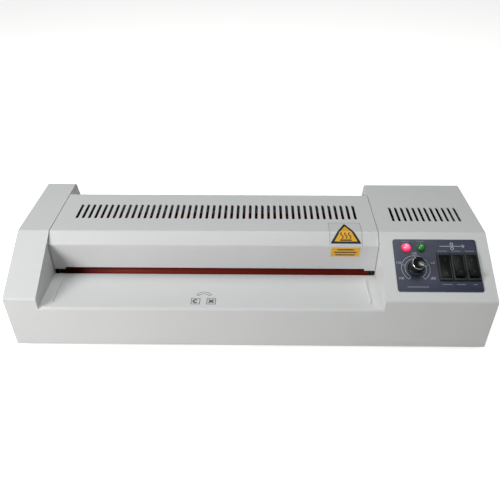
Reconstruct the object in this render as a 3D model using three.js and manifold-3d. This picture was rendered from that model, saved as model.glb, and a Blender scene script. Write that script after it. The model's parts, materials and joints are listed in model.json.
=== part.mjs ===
// Pouch laminator for sheets up to 330 mm wide: a folded steel case with a control box at its right end,
// four geared silicone rollers with heater plates between them, and a gear motor in the control box.
// Millimetres. +X is the user's right, +Y the rear, +Z up.
// The origin is on the table, under the case's middle.
import * as THREE from "three";
import { mergeVertices } from "three/addons/utils/BufferGeometryUtils.js";
import Module from "manifold-3d";

const wasm = await Module();
wasm.setup();

// ---- Driving dimensions ----

const WIDTH = 505; // whole case, left to right
const DEPTH = 210; // whole case at its base, front to back
const FOOT = 8; // height of the rubber feet, so the case's underside is here
const TOP = 108; // top of the case above the table
const SHEET = 1.2; // steel sheet of every casing piece
const GAP = 0.3; // gap left between pieces that touch

const FRONT = -DEPTH / 2;
const REAR = DEPTH / 2;
const LEFT = -WIDTH / 2;
const RIGHT = WIDTH / 2;

const FRONT_FOLD = 70.5; // height where the front wall turns back into the slope
const SLOPE_DEPTH = 72.1; // how far back the slope runs before the flat top
const TOP_BACK = REAR - 30.6; // where the flat top turns down into the rear slope
const LEFT_INNER = -218.6; // inner faces of the left end section and of the control box
const RIGHT_INNER = 138;
const TABLE = 59.2; // height of the feed table and of the exit shelf
const REAR_LEAN = (REAR - TOP_BACK) / (TOP - FOOT); // how far the rear wall comes forward per mm of height

const LIP_FRONT = -45; // outer faces of the top cover's two lips
const LIP_REAR = 58.6;
const LIP_FOLD = 97.5; // height of the fold above each lip
const LIP_END = 64.6; // bottom of the lips beside the slot
const SLOT_TOP = 67.2; // bottom of the lips over the slot
const SLOT_LEFT = -206.3; // ends of the feed and exit slots, 332 mm apart
const SLOT_RIGHT = 125.7;
const COVER_BACK = 46.5; // where the cover's flat top turns down to its rear lip

const NIP = 60.6; // height where the rollers meet
const SLEEVE = 13; // radius of a silicone sleeve
const CORE = 10; // radius of a roller's steel core under its sleeve
const JOURNAL = 5; // radius of a roller's shaft ends
const FRONT_ROLLER = -25; // where the front and rear pairs stand
const REAR_ROLLER = 35;
const LOWER = NIP - SLEEVE - GAP / 2; // heights of the roller axes
const UPPER = NIP + SLEEVE + GAP / 2;

const MODULE_MM = 2; // gear teeth
const ROLLER_TEETH = 13;
const IDLER_TEETH = 17;
const PINION_TEETH = 11;
const GEAR_LEFT = 141; // the gears' left faces
const GEAR_WIDTH = 8;

// ---- Solids ----

function toSolid(geometry) {
  const loose = geometry.index ? geometry.toNonIndexed() : geometry;
  const bare = new THREE.BufferGeometry().setAttribute("position", loose.getAttribute("position"));
  const merged = mergeVertices(bare, 1e-4);
  const mesh = new wasm.Mesh({
    numProp: 3,
    vertProperties: merged.attributes.position.array,
    triVerts: new Uint32Array(merged.index.array),
  });
  return new wasm.Manifold(mesh);
}

function toGeometry(solid) {
  const { numProp, numVert, vertProperties, triVerts } = solid.getMesh();
  const position = new Float32Array(numVert * 3);
  for (let i = 0; i < numVert; i++) {
    position.set(vertProperties.subarray(i * numProp, i * numProp + 3), i * 3);
  }
  return new THREE.BufferGeometry()
    .setAttribute("position", new THREE.BufferAttribute(position, 3))
    .setIndex(new THREE.BufferAttribute(triVerts, 1));
}

const join = (...geometries) => toGeometry(geometries.map(toSolid).reduce((a, b) => a.add(b)));

const cut = (geometry, ...tools) =>
  toGeometry(tools.map(toSolid).reduce((a, b) => a.subtract(b), toSolid(geometry)));

// A box between two corners.
function block(x0, x1, y0, y1, z0, z1) {
  const box = new THREE.BoxGeometry(x1 - x0, y1 - y0, z1 - z0);
  return box.translate((x0 + x1) / 2, (y0 + y1) / 2, (z0 + z1) / 2);
}

// A slot's cutter, centred on x.
function slot(x, width, y0, y1, z0, z1) {
  return block(x - width / 2, x + width / 2, y0, y1, z0, z1);
}

// A shape drawn in (Y, Z), drawn out along X.
function alongX(shape, x0, x1) {
  const turn = new THREE.Matrix4().makeBasis(
    new THREE.Vector3(0, 1, 0),
    new THREE.Vector3(0, 0, 1),
    new THREE.Vector3(1, 0, 0),
  );
  const depth = x1 - x0;
  const geometry = new THREE.ExtrudeGeometry(shape, { depth, bevelEnabled: false, curveSegments: 8 });
  return geometry.applyMatrix4(turn).translate(x0, 0, 0);
}

// A shape drawn in (X, Y), drawn out along Z.
function alongZ(shape, z0, z1, curveSegments = 4) {
  const geometry = new THREE.ExtrudeGeometry(shape, { depth: z1 - z0, bevelEnabled: false, curveSegments });
  return geometry.translate(0, 0, z0);
}

// A solid of revolution about Z; each point is [radius, height] and the line starts and ends on the axis.
function turned(points, segments = 24) {
  const line = points.map(([radius, height]) => new THREE.Vector2(radius, height));
  return new THREE.LatheGeometry(line, segments);
}

const turnedAlongZ = (points, segments) => turned(points, segments).rotateX(Math.PI / 2);
const turnedAlongX = (points, segments) => turned(points, segments).rotateZ(-Math.PI / 2);

// A ring's profile, from [inner radius, outer radius, low, high]; it closes on itself.
const ringProfile = (inner, outer, low, high) => [
  [inner, low],
  [outer, low],
  [outer, high],
  [inner, high],
  [inner, low],
];

// A rod's profile from its steps, each [radius, end], starting at the given end.
function rodProfile(start, steps) {
  const points = [[0, start]];
  let at = start;
  for (const [radius, end] of steps) {
    points.push([radius, at], [radius, end]);
    at = end;
  }
  return [...points, [0, at]];
}

// ---- Folded sheet ----

// An open line of [a, b, bend radius] points with its bends rounded, moved to its own left by shift.
function bentLine(points, shift = 0, steps = 3) {
  const at = points.map(([a, b]) => new THREE.Vector2(a, b));
  const along = at.slice(1).map((p, i) => p.clone().sub(at[i]).normalize());
  const left = along.map((d) => new THREE.Vector2(-d.y, d.x));
  const line = [at[0].clone().addScaledVector(left[0], shift)];
  for (let i = 1; i < at.length - 1; i++) {
    const spread = shift / (1 + left[i - 1].dot(left[i]));
    const corner = at[i].clone().addScaledVector(left[i - 1], spread).addScaledVector(left[i], spread);
    const turn = Math.atan2(along[i - 1].cross(along[i]), along[i - 1].dot(along[i]));
    const radius = Math.max(0, (points[i][2] ?? 0) - Math.sign(turn) * shift);
    if (!points[i][2] || radius < 0.05) {
      line.push(corner);
      continue;
    }
    const reach = radius * Math.tan(Math.abs(turn) / 2);
    const start = corner.clone().addScaledVector(along[i - 1], -reach);
    const centre = start.clone().addScaledVector(left[i - 1], Math.sign(turn) * radius);
    for (let k = 0; k <= steps; k++) line.push(start.clone().rotateAround(centre, (turn * k) / steps));
  }
  const last = at.length - 1;
  return [...line, at[last].clone().addScaledVector(left[last - 1], shift)];
}

// The section of a folded sheet whose outer face follows the line, its thickness to the line's right.
function sheetSection(points, thickness = SHEET) {
  return new THREE.Shape([...bentLine(points), ...bentLine(points, -thickness).reverse()]);
}

function roundedRectangle(x0, x1, y0, y1, r) {
  const shape = new THREE.Shape();
  shape.absarc(x1 - r, y1 - r, r, 0, Math.PI / 2, false);
  shape.absarc(x0 + r, y1 - r, r, Math.PI / 2, Math.PI, false);
  shape.absarc(x0 + r, y0 + r, r, Math.PI, 1.5 * Math.PI, false);
  shape.absarc(x1 - r, y0 + r, r, 1.5 * Math.PI, 2 * Math.PI, false);
  return shape;
}

const discShape = (x, y, r) => new THREE.Shape().absarc(x, y, r, 0, 2 * Math.PI, false);

// ---- Materials ----

const paint = (name, color, roughness, metalness = 0) =>
  new THREE.MeshStandardMaterial({ name, color, roughness, metalness });

const casingPaint = paint("casing paint", 0xd6d8d6, 0.5);
const basePaint = paint("base paint", 0x3a3c3e, 0.6);
const panelBlue = paint("panel overlay", 0x2c3048, 0.45);
const blackPlastic = paint("black plastic", 0x121314, 0.35);
const rubber = paint("rubber", 0x1c1c1c, 0.85);
const silicone = paint("silicone", 0x9c2a1c, 0.55);
const steel = paint("steel", 0x9a9da0, 0.35, 1);
const zinc = paint("zinc plate", 0xb4b8ba, 0.4, 1);
const aluminium = paint("aluminium", 0xb8bcbe, 0.4, 1);
const nylon = paint("nylon", 0xe6e2d2, 0.5);
const bronze = paint("bronze", 0xa87a3c, 0.4, 1);
const mica = paint("mica", 0xb49a68, 0.7);
const redLens = paint("red lens", 0xff3050, 0.15);
const greenLens = paint("green lens", 0x1c8a30, 0.15);
const boardGreen = paint("board", 0x1f5b34, 0.5);
const wire = paint("wire sleeve", 0x202022, 0.6);

const model = new THREE.Group();

function add(name, geometry, material, parent = model) {
  const mesh = new THREE.Mesh(geometry, material);
  mesh.name = name;
  parent.add(mesh);
  return mesh;
}

// ---- Control slope: a frame with x along the case, y up the slope and z out of it ----

const SLOPE_ANGLE = Math.atan2(TOP - FRONT_FOLD, SLOPE_DEPTH);
const slope = new THREE.Group();
slope.position.set(0, FRONT, FRONT_FOLD);
slope.rotation.x = SLOPE_ANGLE;
model.add(slope);
slope.updateMatrix();
const onSlope = (geometry) => geometry.applyMatrix4(slope.matrix);

const PANEL = { left: 151.4, right: 239.2, low: 11.6, high: 72, thick: 0.8 };
const LAMPS = { red: 164.9, green: 180.6, up: 61.6, radius: 5 };
const KNOB = { x: 172.3, up: 37.6, radius: 8.6 };
const SWITCHES = { left: 195.4, pitch: 14.3, low: 23.6, high: 55.2, count: 3 };
const SWITCH_RIGHT = SWITCHES.left + SWITCHES.pitch * SWITCHES.count;

// ---- Outer shell: front wall, feed table, left end section and control box, welded into one ----

const endLine = [
  [FRONT, FOOT],
  [FRONT, FRONT_FOLD, 3],
  [FRONT + SLOPE_DEPTH, TOP, 4],
  [TOP_BACK, TOP, 5],
  [REAR, FOOT],
];

// The hollow inside an end section, running on below the open underside.
function endHollow() {
  const inner = bentLine(endLine, -SHEET);
  const below = FOOT - 5;
  const first = inner[0];
  const last = inner[inner.length - 1];
  return new THREE.Shape([new THREE.Vector2(first.x, below), ...inner, new THREE.Vector2(last.x, below)]);
}

function endSection(x0, x1) {
  const outside = alongX(new THREE.Shape(bentLine(endLine)), x0, x1);
  return cut(outside, alongX(endHollow(), x0 + SHEET, x1 - SHEET));
}

// What the two inner walls leave open: the roller chamber, and all that is below the table.
function chamberWindow() {
  const low = FOOT - 5;
  const under = TABLE - 8;
  const roof = TOP - 8.5;
  const line = [
    [FRONT + SHEET + 0.2, low],
    [FRONT + SHEET + 0.2, under],
    [LIP_FRONT + 2, under],
    [LIP_FRONT + 2, roof],
    [LIP_REAR - 2, roof],
    [LIP_REAR - 2, under],
    [REAR - 2 - (under - FOOT) * REAR_LEAN, under],
    [REAR - 2 - (low - FOOT) * REAR_LEAN, low],
  ];
  const shape = new THREE.Shape(line.map(([y, z]) => new THREE.Vector2(y, z)));
  return alongX(shape, LEFT_INNER - 3, RIGHT_INNER + 3);
}

// Front wall and feed table between the end sections, with a short flange at the table's back edge.
function frontAndTable() {
  const line = [
    [FRONT, FOOT],
    [FRONT, TABLE, 3],
    [LIP_FRONT - 1.2, TABLE, 1],
    [LIP_FRONT - 1.2, TABLE - 5],
  ];
  return alongX(sheetSection(line), LEFT_INNER - SHEET / 2, RIGHT_INNER + SHEET / 2);
}

// A pressed rib on the table that guides one edge of the sheet.
function guideRib(x) {
  const height = 0.9;
  const section = new THREE.Shape();
  section.moveTo(FRONT + 11, TABLE - 0.6);
  section.lineTo(FRONT + 12.5, TABLE + height);
  section.lineTo(FRONT + 49, TABLE + height);
  section.lineTo(FRONT + 50.5, TABLE - 0.6);
  return alongX(section, x - 0.9, x + 0.9);
}

const VENT = { width: 3.2, low: TOP - 4, high: TOP + 2 };
const boxVents = [];
for (let i = 0; i < 12; i++) {
  boxVents.push(slot(158.6 + i * 6.7, VENT.width, FRONT + 94, FRONT + 124, VENT.low, VENT.high));
}

// Cut-outs for the panel's parts, through the shell's slope.
const slopeHoles = [
  alongZ(discShape(LAMPS.red, LAMPS.up, 4.6), -6, 4, 6),
  alongZ(discShape(LAMPS.green, LAMPS.up, 4.6), -6, 4, 6),
  alongZ(discShape(KNOB.x, KNOB.up, 4.2), -6, 4, 6),
  block(SWITCHES.left + 0.8, SWITCH_RIGHT - 0.8, SWITCHES.low + 1.6, SWITCHES.high - 1.6, -6, 4),
].map(onSlope);

// The control box's rear wall as a frame: x along the case, y up the wall and z out of it.
const rearWall = new THREE.Group();
rearWall.position.set(0, REAR, FOOT);
rearWall.rotation.set(Math.PI / 2 + Math.atan(REAR_LEAN), 0, 0);
rearWall.updateMatrix();
rearWall.matrix.multiply(new THREE.Matrix4().makeRotationY(Math.PI));
rearWall.matrixAutoUpdate = false;
model.add(rearWall);
// In this frame x runs to the user's left, so a place is written as minus its X.
const onRearWall = (geometry) => geometry.applyMatrix4(rearWall.matrix);

const INLET = { x: -230, up: 30, halfWidth: 9.8, halfHeight: 13.6 };
const FUSE = { x: -230, up: 76, radius: 6.2 };

const rearHoles = [
  block(INLET.x - 10.2, INLET.x + 10.2, INLET.up - 14, INLET.up + 14, -6, 4),
  alongZ(discShape(FUSE.x, FUSE.up, FUSE.radius + GAP), -6, 4, 6),
].map(onRearWall);

const shell = cut(
  join(endSection(LEFT, LEFT_INNER), endSection(RIGHT_INNER, RIGHT), frontAndTable()),
  chamberWindow(),
);
const ribbedShell = join(shell, guideRib(SLOT_LEFT - 0.4), guideRib(SLOT_RIGHT - 0.2));
add("outer_shell", cut(ribbedShell, ...boxVents, ...slopeHoles, ...rearHoles), casingPaint);

// ---- Top cover: flat vented top with a lip over each slot ----

function topCover() {
  const line = [
    [LIP_FRONT, LIP_END],
    [LIP_FRONT, LIP_FOLD, 2.5],
    [FRONT + SLOPE_DEPTH, TOP - 0.2, 3.5],
    [COVER_BACK, TOP - 0.2, 3.5],
    [LIP_REAR, LIP_FOLD, 2.5],
    [LIP_REAR, LIP_END],
  ];
  const folded = alongX(sheetSection(line), LEFT_INNER + 0.6, RIGHT_INNER - 0.6);
  const tools = [block(SLOT_LEFT, SLOT_RIGHT, LIP_FRONT - 5, LIP_REAR + 5, LIP_END - 5, SLOT_TOP)];
  for (let i = 0; i < 46; i++) {
    tools.push(slot(-195.8 + i * 6.95, VENT.width, FRONT + 97.5, FRONT + 128.2, VENT.low, VENT.high));
  }
  return cut(folded, ...tools);
}
add("top_cover", topCover(), casingPaint);

// ---- Rear panel: exit shelf and rear wall between the end sections ----

const SHELF_BACK = REAR - (TABLE - FOOT) * REAR_LEAN;
add(
  "rear_panel",
  alongX(
    sheetSection([
      [LIP_REAR - 1, TABLE - 5],
      [LIP_REAR - 1, TABLE, 2],
      [SHELF_BACK, TABLE, 3],
      [REAR, FOOT],
    ]),
    LEFT_INNER + GAP,
    RIGHT_INNER - GAP,
  ),
  casingPaint,
);

// ---- Base tray: floor with turned-up edges, board pillars and air slots, on four rubber feet ----

const TRAY_FRONT = FRONT + SHEET + 0.4;
const TRAY_REAR = REAR - SHEET - 0.9;
const TRAY_LEFT = LEFT + SHEET + 0.4;
const TRAY_RIGHT = RIGHT - SHEET - 0.4;
const FLOOR = FOOT + SHEET;
const EDGE = FOOT + 14; // top of the turned-up edges
const BOARD = { x0: 160, x1: 244, y0: -98, y1: -30, z: 18 };

function baseTray() {
  const rearTop = TRAY_REAR - (EDGE - FOOT) * REAR_LEAN;
  // The line runs rear to front, so that the sheet's thickness is above the floor's underside.
  const line = [
    [rearTop, EDGE],
    [TRAY_REAR, FOOT, 2],
    [TRAY_FRONT, FOOT, 2],
    [TRAY_FRONT, EDGE],
  ];
  const pan = alongX(sheetSection(line), TRAY_LEFT, TRAY_RIGHT);
  const edges = [TRAY_LEFT, TRAY_RIGHT - SHEET].map((x) =>
    block(x, x + SHEET, TRAY_FRONT + 0.5, rearTop - 0.5, FOOT + 0.4, EDGE),
  );
  const pillars = [];
  for (const x of [BOARD.x0 + 5, BOARD.x1 - 5]) {
    for (const y of [BOARD.y0 + 5, BOARD.y1 - 5]) {
      pillars.push(alongZ(discShape(x, y, 3), FLOOR - 0.4, BOARD.z - GAP, 5));
    }
  }
  const slots = [];
  for (let i = 0; i < 9; i++) {
    for (const x of [-150, 70]) slots.push(slot(x + i * 9, 3.5, -15, 25, FOOT - 2, FOOT + 4));
  }
  return cut(join(pan, ...edges, ...pillars), ...slots);
}
add("base_tray", baseTray(), basePaint);

const FEET = {
  front_left: [-215, -80],
  front_right: [215, -80],
  rear_left: [-215, 78],
  rear_right: [215, 78],
};
for (const [place, [x, y]] of Object.entries(FEET)) {
  const profile = [
    [0, 0],
    [9.5, 0],
    [10.5, 1],
    [11.5, FOOT - GAP],
    [0, FOOT - GAP],
  ];
  add("foot_" + place, turnedAlongZ(profile, 20), rubber).position.set(x, y, 0);
}

// ---- Side frames: channels that carry the bushes, the bearing blocks and the springs ----

const FRAME_LEFT = -213.6; // inner (roller-side) face of the left frame
const FRAME_RIGHT = 134.6; // inner face of the right frame
const FRAME_SHEET = 2;
const FRAME_TOP = 98;
const FRAME_FRONT = -42;
const FRAME_REAR = 52;
const BUSH = 7; // radius of a lower bush's barrel
const BLOCK_WIDTH = 16; // of the neck that slides in the frame
const BLOCK_HEIGHT = 17;
const BLOCK_TOP = UPPER + BLOCK_HEIGHT / 2;
const IDLER_Y = (FRONT_ROLLER + REAR_ROLLER) / 2;
const LOOM_HEIGHT = 87.6; // where the heater leads pass through the right frame

// side is -1 for the left frame and 1 for the right; its flanges turn away from the rollers.
function sideFrame(side) {
  const face = side < 0 ? FRAME_LEFT : FRAME_RIGHT;
  const span = (from, to) => [face + side * from, face + side * to].sort((a, b) => a - b);
  const plate = block(...span(0, FRAME_SHEET), FRAME_FRONT, FRAME_REAR, FLOOR + GAP, FRAME_TOP);
  const foot = block(...span(0, 4), FRAME_FRONT, FRAME_REAR, FLOOR + GAP, FLOOR + GAP + FRAME_SHEET);
  const seat = block(...span(-3.5, 4.6), FRAME_FRONT, FRAME_REAR, FRAME_TOP - FRAME_SHEET, FRAME_TOP);
  const tools = [];
  for (const y of [FRONT_ROLLER, REAR_ROLLER]) {
    tools.push(alongX(discShape(y, LOWER, BUSH + GAP), face - 6, face + 6));
    const low = UPPER - BLOCK_HEIGHT / 2 - GAP;
    const reach = BLOCK_WIDTH / 2 + GAP;
    tools.push(block(face - 3.2, face + 3.2, y - reach, y + reach, low, FRAME_TOP - FRAME_SHEET));
  }
  if (side > 0) tools.push(alongX(discShape(IDLER_Y, LOOM_HEIGHT, 5), face - 6, face + 6));
  return cut(join(plate, foot, seat), ...tools);
}
add("left_side_frame", sideFrame(-1), zinc);
add("right_side_frame", sideFrame(1), zinc);

// ---- Rollers ----

const SLEEVE_LEFT = FRAME_LEFT + 2.6; // the sleeves run past the slots, almost to the side frames
const SLEEVE_RIGHT = FRAME_RIGHT - 2.6;
const GEAR_RIGHT = GEAR_LEFT + GEAR_WIDTH;
const CIRCLE = 24; // facets round a roller

function gearTooth(teeth) {
  const pressure = THREE.MathUtils.degToRad(25);
  const pitch = (MODULE_MM * teeth) / 2;
  const base = pitch * Math.cos(pressure);
  const tip = pitch + 0.8 * MODULE_MM;
  const root = pitch - 1.15 * MODULE_MM;
  const involute = (angle) => Math.tan(angle) - angle;
  const backlash = 0.3;
  const halfAtPitch = Math.PI / (2 * teeth) - backlash / (2 * pitch);
  const halfAt = (r) => halfAtPitch + involute(pressure) - involute(Math.acos(Math.min(1, base / r)));
  const flank = [Math.max(base, root), pitch, tip].map((r) => [r, halfAt(r)]);
  if (root < base) flank.unshift([root, halfAt(base)]);
  return flank;
}

// A spur gear's outline in (Y, Z), one tooth centred on the phase angle, with a round bore.
function gearShape(teeth, phase, bore) {
  const flank = gearTooth(teeth);
  const points = [];
  for (let i = 0; i < teeth; i++) {
    const centre = phase + (2 * Math.PI * i) / teeth;
    for (const [r, half] of flank) points.push([r, centre - half]);
    for (const [r, half] of [...flank].reverse()) points.push([r, centre + half]);
  }
  const outline = points.map(([r, a]) => new THREE.Vector2(r * Math.cos(a), r * Math.sin(a)));
  const shape = new THREE.Shape(outline);
  shape.holes.push(new THREE.Path().absarc(0, 0, bore, 0, 2 * Math.PI, true));
  return shape;
}

// The phase that puts a gap of gear B opposite gear A's tooth, B standing at the given direction from A.
function meshPhase(phaseA, teethA, teethB, direction) {
  const pitchA = (2 * Math.PI) / teethA;
  const offset = phaseA - direction - Math.round((phaseA - direction) / pitchA) * pitchA;
  return direction + Math.PI - (teethA / teethB) * offset + Math.PI / teethB;
}

const UP = Math.PI / 2;
const TO_FRONT = Math.PI;
const TO_REAR = 0;
const rearLowerPhase = 0.1;
const rearUpperPhase = meshPhase(rearLowerPhase, ROLLER_TEETH, ROLLER_TEETH, UP);
const idlerPhase = meshPhase(rearLowerPhase, ROLLER_TEETH, IDLER_TEETH, TO_FRONT);
const frontLowerPhase = meshPhase(idlerPhase, IDLER_TEETH, ROLLER_TEETH, TO_FRONT);
const frontUpperPhase = meshPhase(frontLowerPhase, ROLLER_TEETH, ROLLER_TEETH, UP);
const pinionPhase = meshPhase(rearLowerPhase, ROLLER_TEETH, PINION_TEETH, TO_REAR);

const rollers = [
  { place: "lower_front", y: FRONT_ROLLER, z: LOWER, phase: frontLowerPhase },
  { place: "lower_rear", y: REAR_ROLLER, z: LOWER, phase: rearLowerPhase },
  { place: "upper_front", y: FRONT_ROLLER, z: UPPER, phase: frontUpperPhase },
  { place: "upper_rear", y: REAR_ROLLER, z: UPPER, phase: rearUpperPhase },
];
for (const { place, y, z, phase } of rollers) {
  const group = new THREE.Group();
  group.position.set(0, y, z);
  model.add(group);
  const core = rodProfile(FRAME_LEFT - 8, [
    [JOURNAL, SLEEVE_LEFT],
    [CORE, SLEEVE_RIGHT],
    [JOURNAL, GEAR_RIGHT + 1.5],
  ]);
  add("roller_core_" + place, turnedAlongX(core, CIRCLE), steel, group);
  const sleeve = ringProfile(CORE + GAP, SLEEVE, SLEEVE_LEFT, SLEEVE_RIGHT);
  add("roller_sleeve_" + place, turnedAlongX(sleeve, CIRCLE), silicone, group);
  const gear = alongX(gearShape(ROLLER_TEETH, phase, JOURNAL + GAP), GEAR_LEFT, GEAR_RIGHT);
  add("roller_gear_" + place, gear, nylon, group);
}

// A lower roller runs in a flanged bush at each end; an upper one in a block that slides in the frame.
for (const [end, face, side] of [
  ["left", FRAME_LEFT, -1],
  ["right", FRAME_RIGHT, 1],
]) {
  for (const [row, y] of [
    ["front", FRONT_ROLLER],
    ["rear", REAR_ROLLER],
  ]) {
    const flange = [face - side * 1.8, face - side * GAP].sort((a, b) => a - b);
    const barrel = [face - side * 0.8, face + side * 3].sort((a, b) => a - b);
    const bush = join(
      turnedAlongX(ringProfile(JOURNAL + 0.2, BUSH + 2, ...flange), 16),
      turnedAlongX(ringProfile(JOURNAL + 0.2, BUSH, ...barrel), 16),
    );
    add("bush_" + row + "_" + end, bush.translate(0, y, LOWER), bronze);

    const middle = face + (side * FRAME_SHEET) / 2;
    const half = BLOCK_WIDTH / 2;
    const neck = block(middle - 2.6, middle + 2.6, y - half, y + half, UPPER - BLOCK_HEIGHT / 2, BLOCK_TOP);
    const cheeks = [-1, 1].map((way) => {
      const x = [middle + way * (FRAME_SHEET / 2 + GAP), middle + way * 3.2].sort((a, b) => a - b);
      return block(...x, y - half - 2.5, y + half + 2.5, UPPER - BLOCK_HEIGHT / 2, BLOCK_TOP - 2);
    });
    const bore = alongX(discShape(y, UPPER, JOURNAL + 0.2), middle - 6, middle + 6);
    add("bearing_block_" + row + "_" + end, cut(join(neck, ...cheeks), bore), nylon);
  }
}

// ---- Compression springs over the bearing blocks ----

class Helix extends THREE.Curve {
  constructor(radius, height, turns) {
    super();
    Object.assign(this, { radius, height, turns });
  }
  getPoint(t, target = new THREE.Vector3()) {
    const a = 2 * Math.PI * this.turns * t;
    return target.set(this.radius * Math.cos(a), this.radius * Math.sin(a), this.height * t);
  }
}

const WIRE = 0.6; // radius of the spring wire
const SPRING_RADIUS = 2.4;
const SPRING_LOW = BLOCK_TOP + GAP + WIRE;
const SPRING_HIGH = FRAME_TOP - FRAME_SHEET - GAP - WIRE;
for (const [end, face, side] of [
  ["left", FRAME_LEFT, -1],
  ["right", FRAME_RIGHT, 1],
]) {
  for (const [row, y] of [
    ["front", FRONT_ROLLER],
    ["rear", REAR_ROLLER],
  ]) {
    const coil = new THREE.ExtrudeGeometry(new THREE.Shape().absarc(0, 0, WIRE, 0, 2 * Math.PI, false), {
      steps: 36,
      curveSegments: 3,
      extrudePath: new Helix(SPRING_RADIUS, SPRING_HIGH - SPRING_LOW, 5),
    });
    const spring = add("spring_" + row + "_" + end, coil, steel);
    spring.position.set(face + (side * FRAME_SHEET) / 2, y, SPRING_LOW);
  }
}

// ---- Gear train and motor ----

const idlerPin = rodProfile(FRAME_RIGHT + FRAME_SHEET + GAP, [
  [6, GEAR_LEFT - 0.5],
  [4, GEAR_RIGHT + 0.6],
  [6, GEAR_RIGHT + 2],
]);
add("idler_pin", turnedAlongX(idlerPin, 20), steel).position.set(0, IDLER_Y, LOWER);
const idler = alongX(gearShape(IDLER_TEETH, idlerPhase, 4 + GAP), GEAR_LEFT, GEAR_RIGHT);
add("idler_gear", idler, nylon).position.set(0, IDLER_Y, LOWER);

const MOTOR_Y = REAR_ROLLER + (MODULE_MM * (ROLLER_TEETH + PINION_TEETH)) / 2;
const BRACKET = 152.6;
const SHAFT = 3.5;
const drive = new THREE.Group();
drive.position.set(0, MOTOR_Y, LOWER);
model.add(drive);
const pinionShaft = turnedAlongX(rodProfile(GEAR_LEFT - 2, [[SHAFT, BRACKET + 12]]), 20);
add(
  "motor_pinion",
  join(alongX(gearShape(PINION_TEETH, pinionPhase, SHAFT - 0.5), GEAR_LEFT, GEAR_RIGHT), pinionShaft),
  steel,
  drive,
);

function motorBracket() {
  const plate = block(BRACKET, BRACKET + 2, MOTOR_Y - 21, MOTOR_Y + 21, FLOOR + GAP, LOWER + 23);
  const foot = block(BRACKET, BRACKET + 18, MOTOR_Y - 21, MOTOR_Y + 21, FLOOR + GAP, FLOOR + GAP + 2);
  return cut(join(plate, foot), alongX(discShape(MOTOR_Y, LOWER, 8), BRACKET - 3, BRACKET + 5));
}
add("motor_bracket", motorBracket(), zinc);

const GEARBOX_LEFT = BRACKET + 2 + GAP;
const GEARBOX_RIGHT = GEARBOX_LEFT + 24;
const gearboxBody = cut(
  join(
    alongX(roundedRectangle(-19.5, 19.5, -21, 21, 4), GEARBOX_LEFT, GEARBOX_RIGHT),
    turnedAlongX(rodProfile(GEARBOX_LEFT - 2, [[7, GEARBOX_LEFT + 1]]), 20),
  ),
  alongX(discShape(0, 0, SHAFT + 0.4), GEARBOX_LEFT - 5, BRACKET + 13),
);
add("gearbox", gearboxBody, zinc, drive);
const motorCan = rodProfile(GEARBOX_RIGHT + GAP, [
  [17.5, GEARBOX_RIGHT + 33],
  [7, GEARBOX_RIGHT + 37],
]);
add("motor", turnedAlongX(motorCan, 28), steel, drive);

// ---- Heaters between the roller pairs ----

const PLATE_LEFT = SLOT_LEFT - 1;
const PLATE_RIGHT = SLOT_RIGHT + 1;

// way is 1 for the upper plate and -1 for the lower; the flat face towards the nip is the wider one.
function heaterPlate(way) {
  const near = NIP + way * 0.8;
  const far = NIP + way * 13.4;
  const web = NIP + way * 4.5;
  const line = [
    [-13, near],
    [23, near],
    [20, web],
    [19.5, far],
    [16, far],
    [15, web],
    [-5, web],
    [-6, far],
    [-9.5, far],
    [-10, web],
  ];
  return alongX(new THREE.Shape(line.map(([y, z]) => new THREE.Vector2(y, z))), PLATE_LEFT, PLATE_RIGHT);
}
add("upper_heater_plate", heaterPlate(1), aluminium);
add("lower_heater_plate", heaterPlate(-1), aluminium);
for (const [row, way] of [
  ["upper", 1],
  ["lower", -1],
]) {
  const z = [NIP + way * 4.8, NIP + way * 8].sort((a, b) => a - b);
  add(row + "_heater_strip", block(PLATE_LEFT + 6, PLATE_RIGHT - 6, -4, 14, ...z), mica);
}
const CUTOUT_LOW = NIP + 8 + GAP;
const cutout = rodProfile(CUTOUT_LOW, [
  [8, CUTOUT_LOW + 3],
  [6.5, CUTOUT_LOW + 9],
]);
add("thermal_cutout", turnedAlongZ(cutout, 20), blackPlastic).position.set(-60, IDLER_Y, 0);

// ---- Control panel ----

const panelHoles = [
  alongZ(discShape(LAMPS.red, LAMPS.up, 4.6), -2, 3, 6),
  alongZ(discShape(LAMPS.green, LAMPS.up, 4.6), -2, 3, 6),
  alongZ(discShape(KNOB.x, KNOB.up, 4.2), -2, 3, 6),
  block(SWITCHES.left + 0.8, SWITCH_RIGHT - 0.8, SWITCHES.low + 1.6, SWITCHES.high - 1.6, -2, 3),
];
const PANEL_TOP = GAP + PANEL.thick;
const panelOutline = roundedRectangle(PANEL.left, PANEL.right, PANEL.low, PANEL.high, 2.5);
const panelPlate = alongZ(panelOutline, GAP, PANEL_TOP);
add("control_panel", cut(panelPlate, ...panelHoles), panelBlue, slope);

// A lamp: domed lens with a collar on the panel and a body behind it.
function lamp() {
  const low = PANEL_TOP + GAP;
  const profile = [
    [0, -14],
    [3.6, -14],
    [3.6, -3],
    [4.3, -3],
    [4.3, low],
    [LAMPS.radius, low],
    [LAMPS.radius, low + 1],
  ];
  for (let i = 1; i <= 5; i++) {
    const a = (i / 5) * (Math.PI / 2);
    profile.push([(LAMPS.radius - 0.4) * Math.cos(a), low + 1 + 3.6 * Math.sin(a)]);
  }
  profile[profile.length - 1][0] = 0;
  return turnedAlongZ(profile, 16);
}
add("red_lamp", lamp(), redLens, slope).position.set(LAMPS.red, LAMPS.up, 0);
add("green_lamp", lamp(), greenLens, slope).position.set(LAMPS.green, LAMPS.up, 0);

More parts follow.
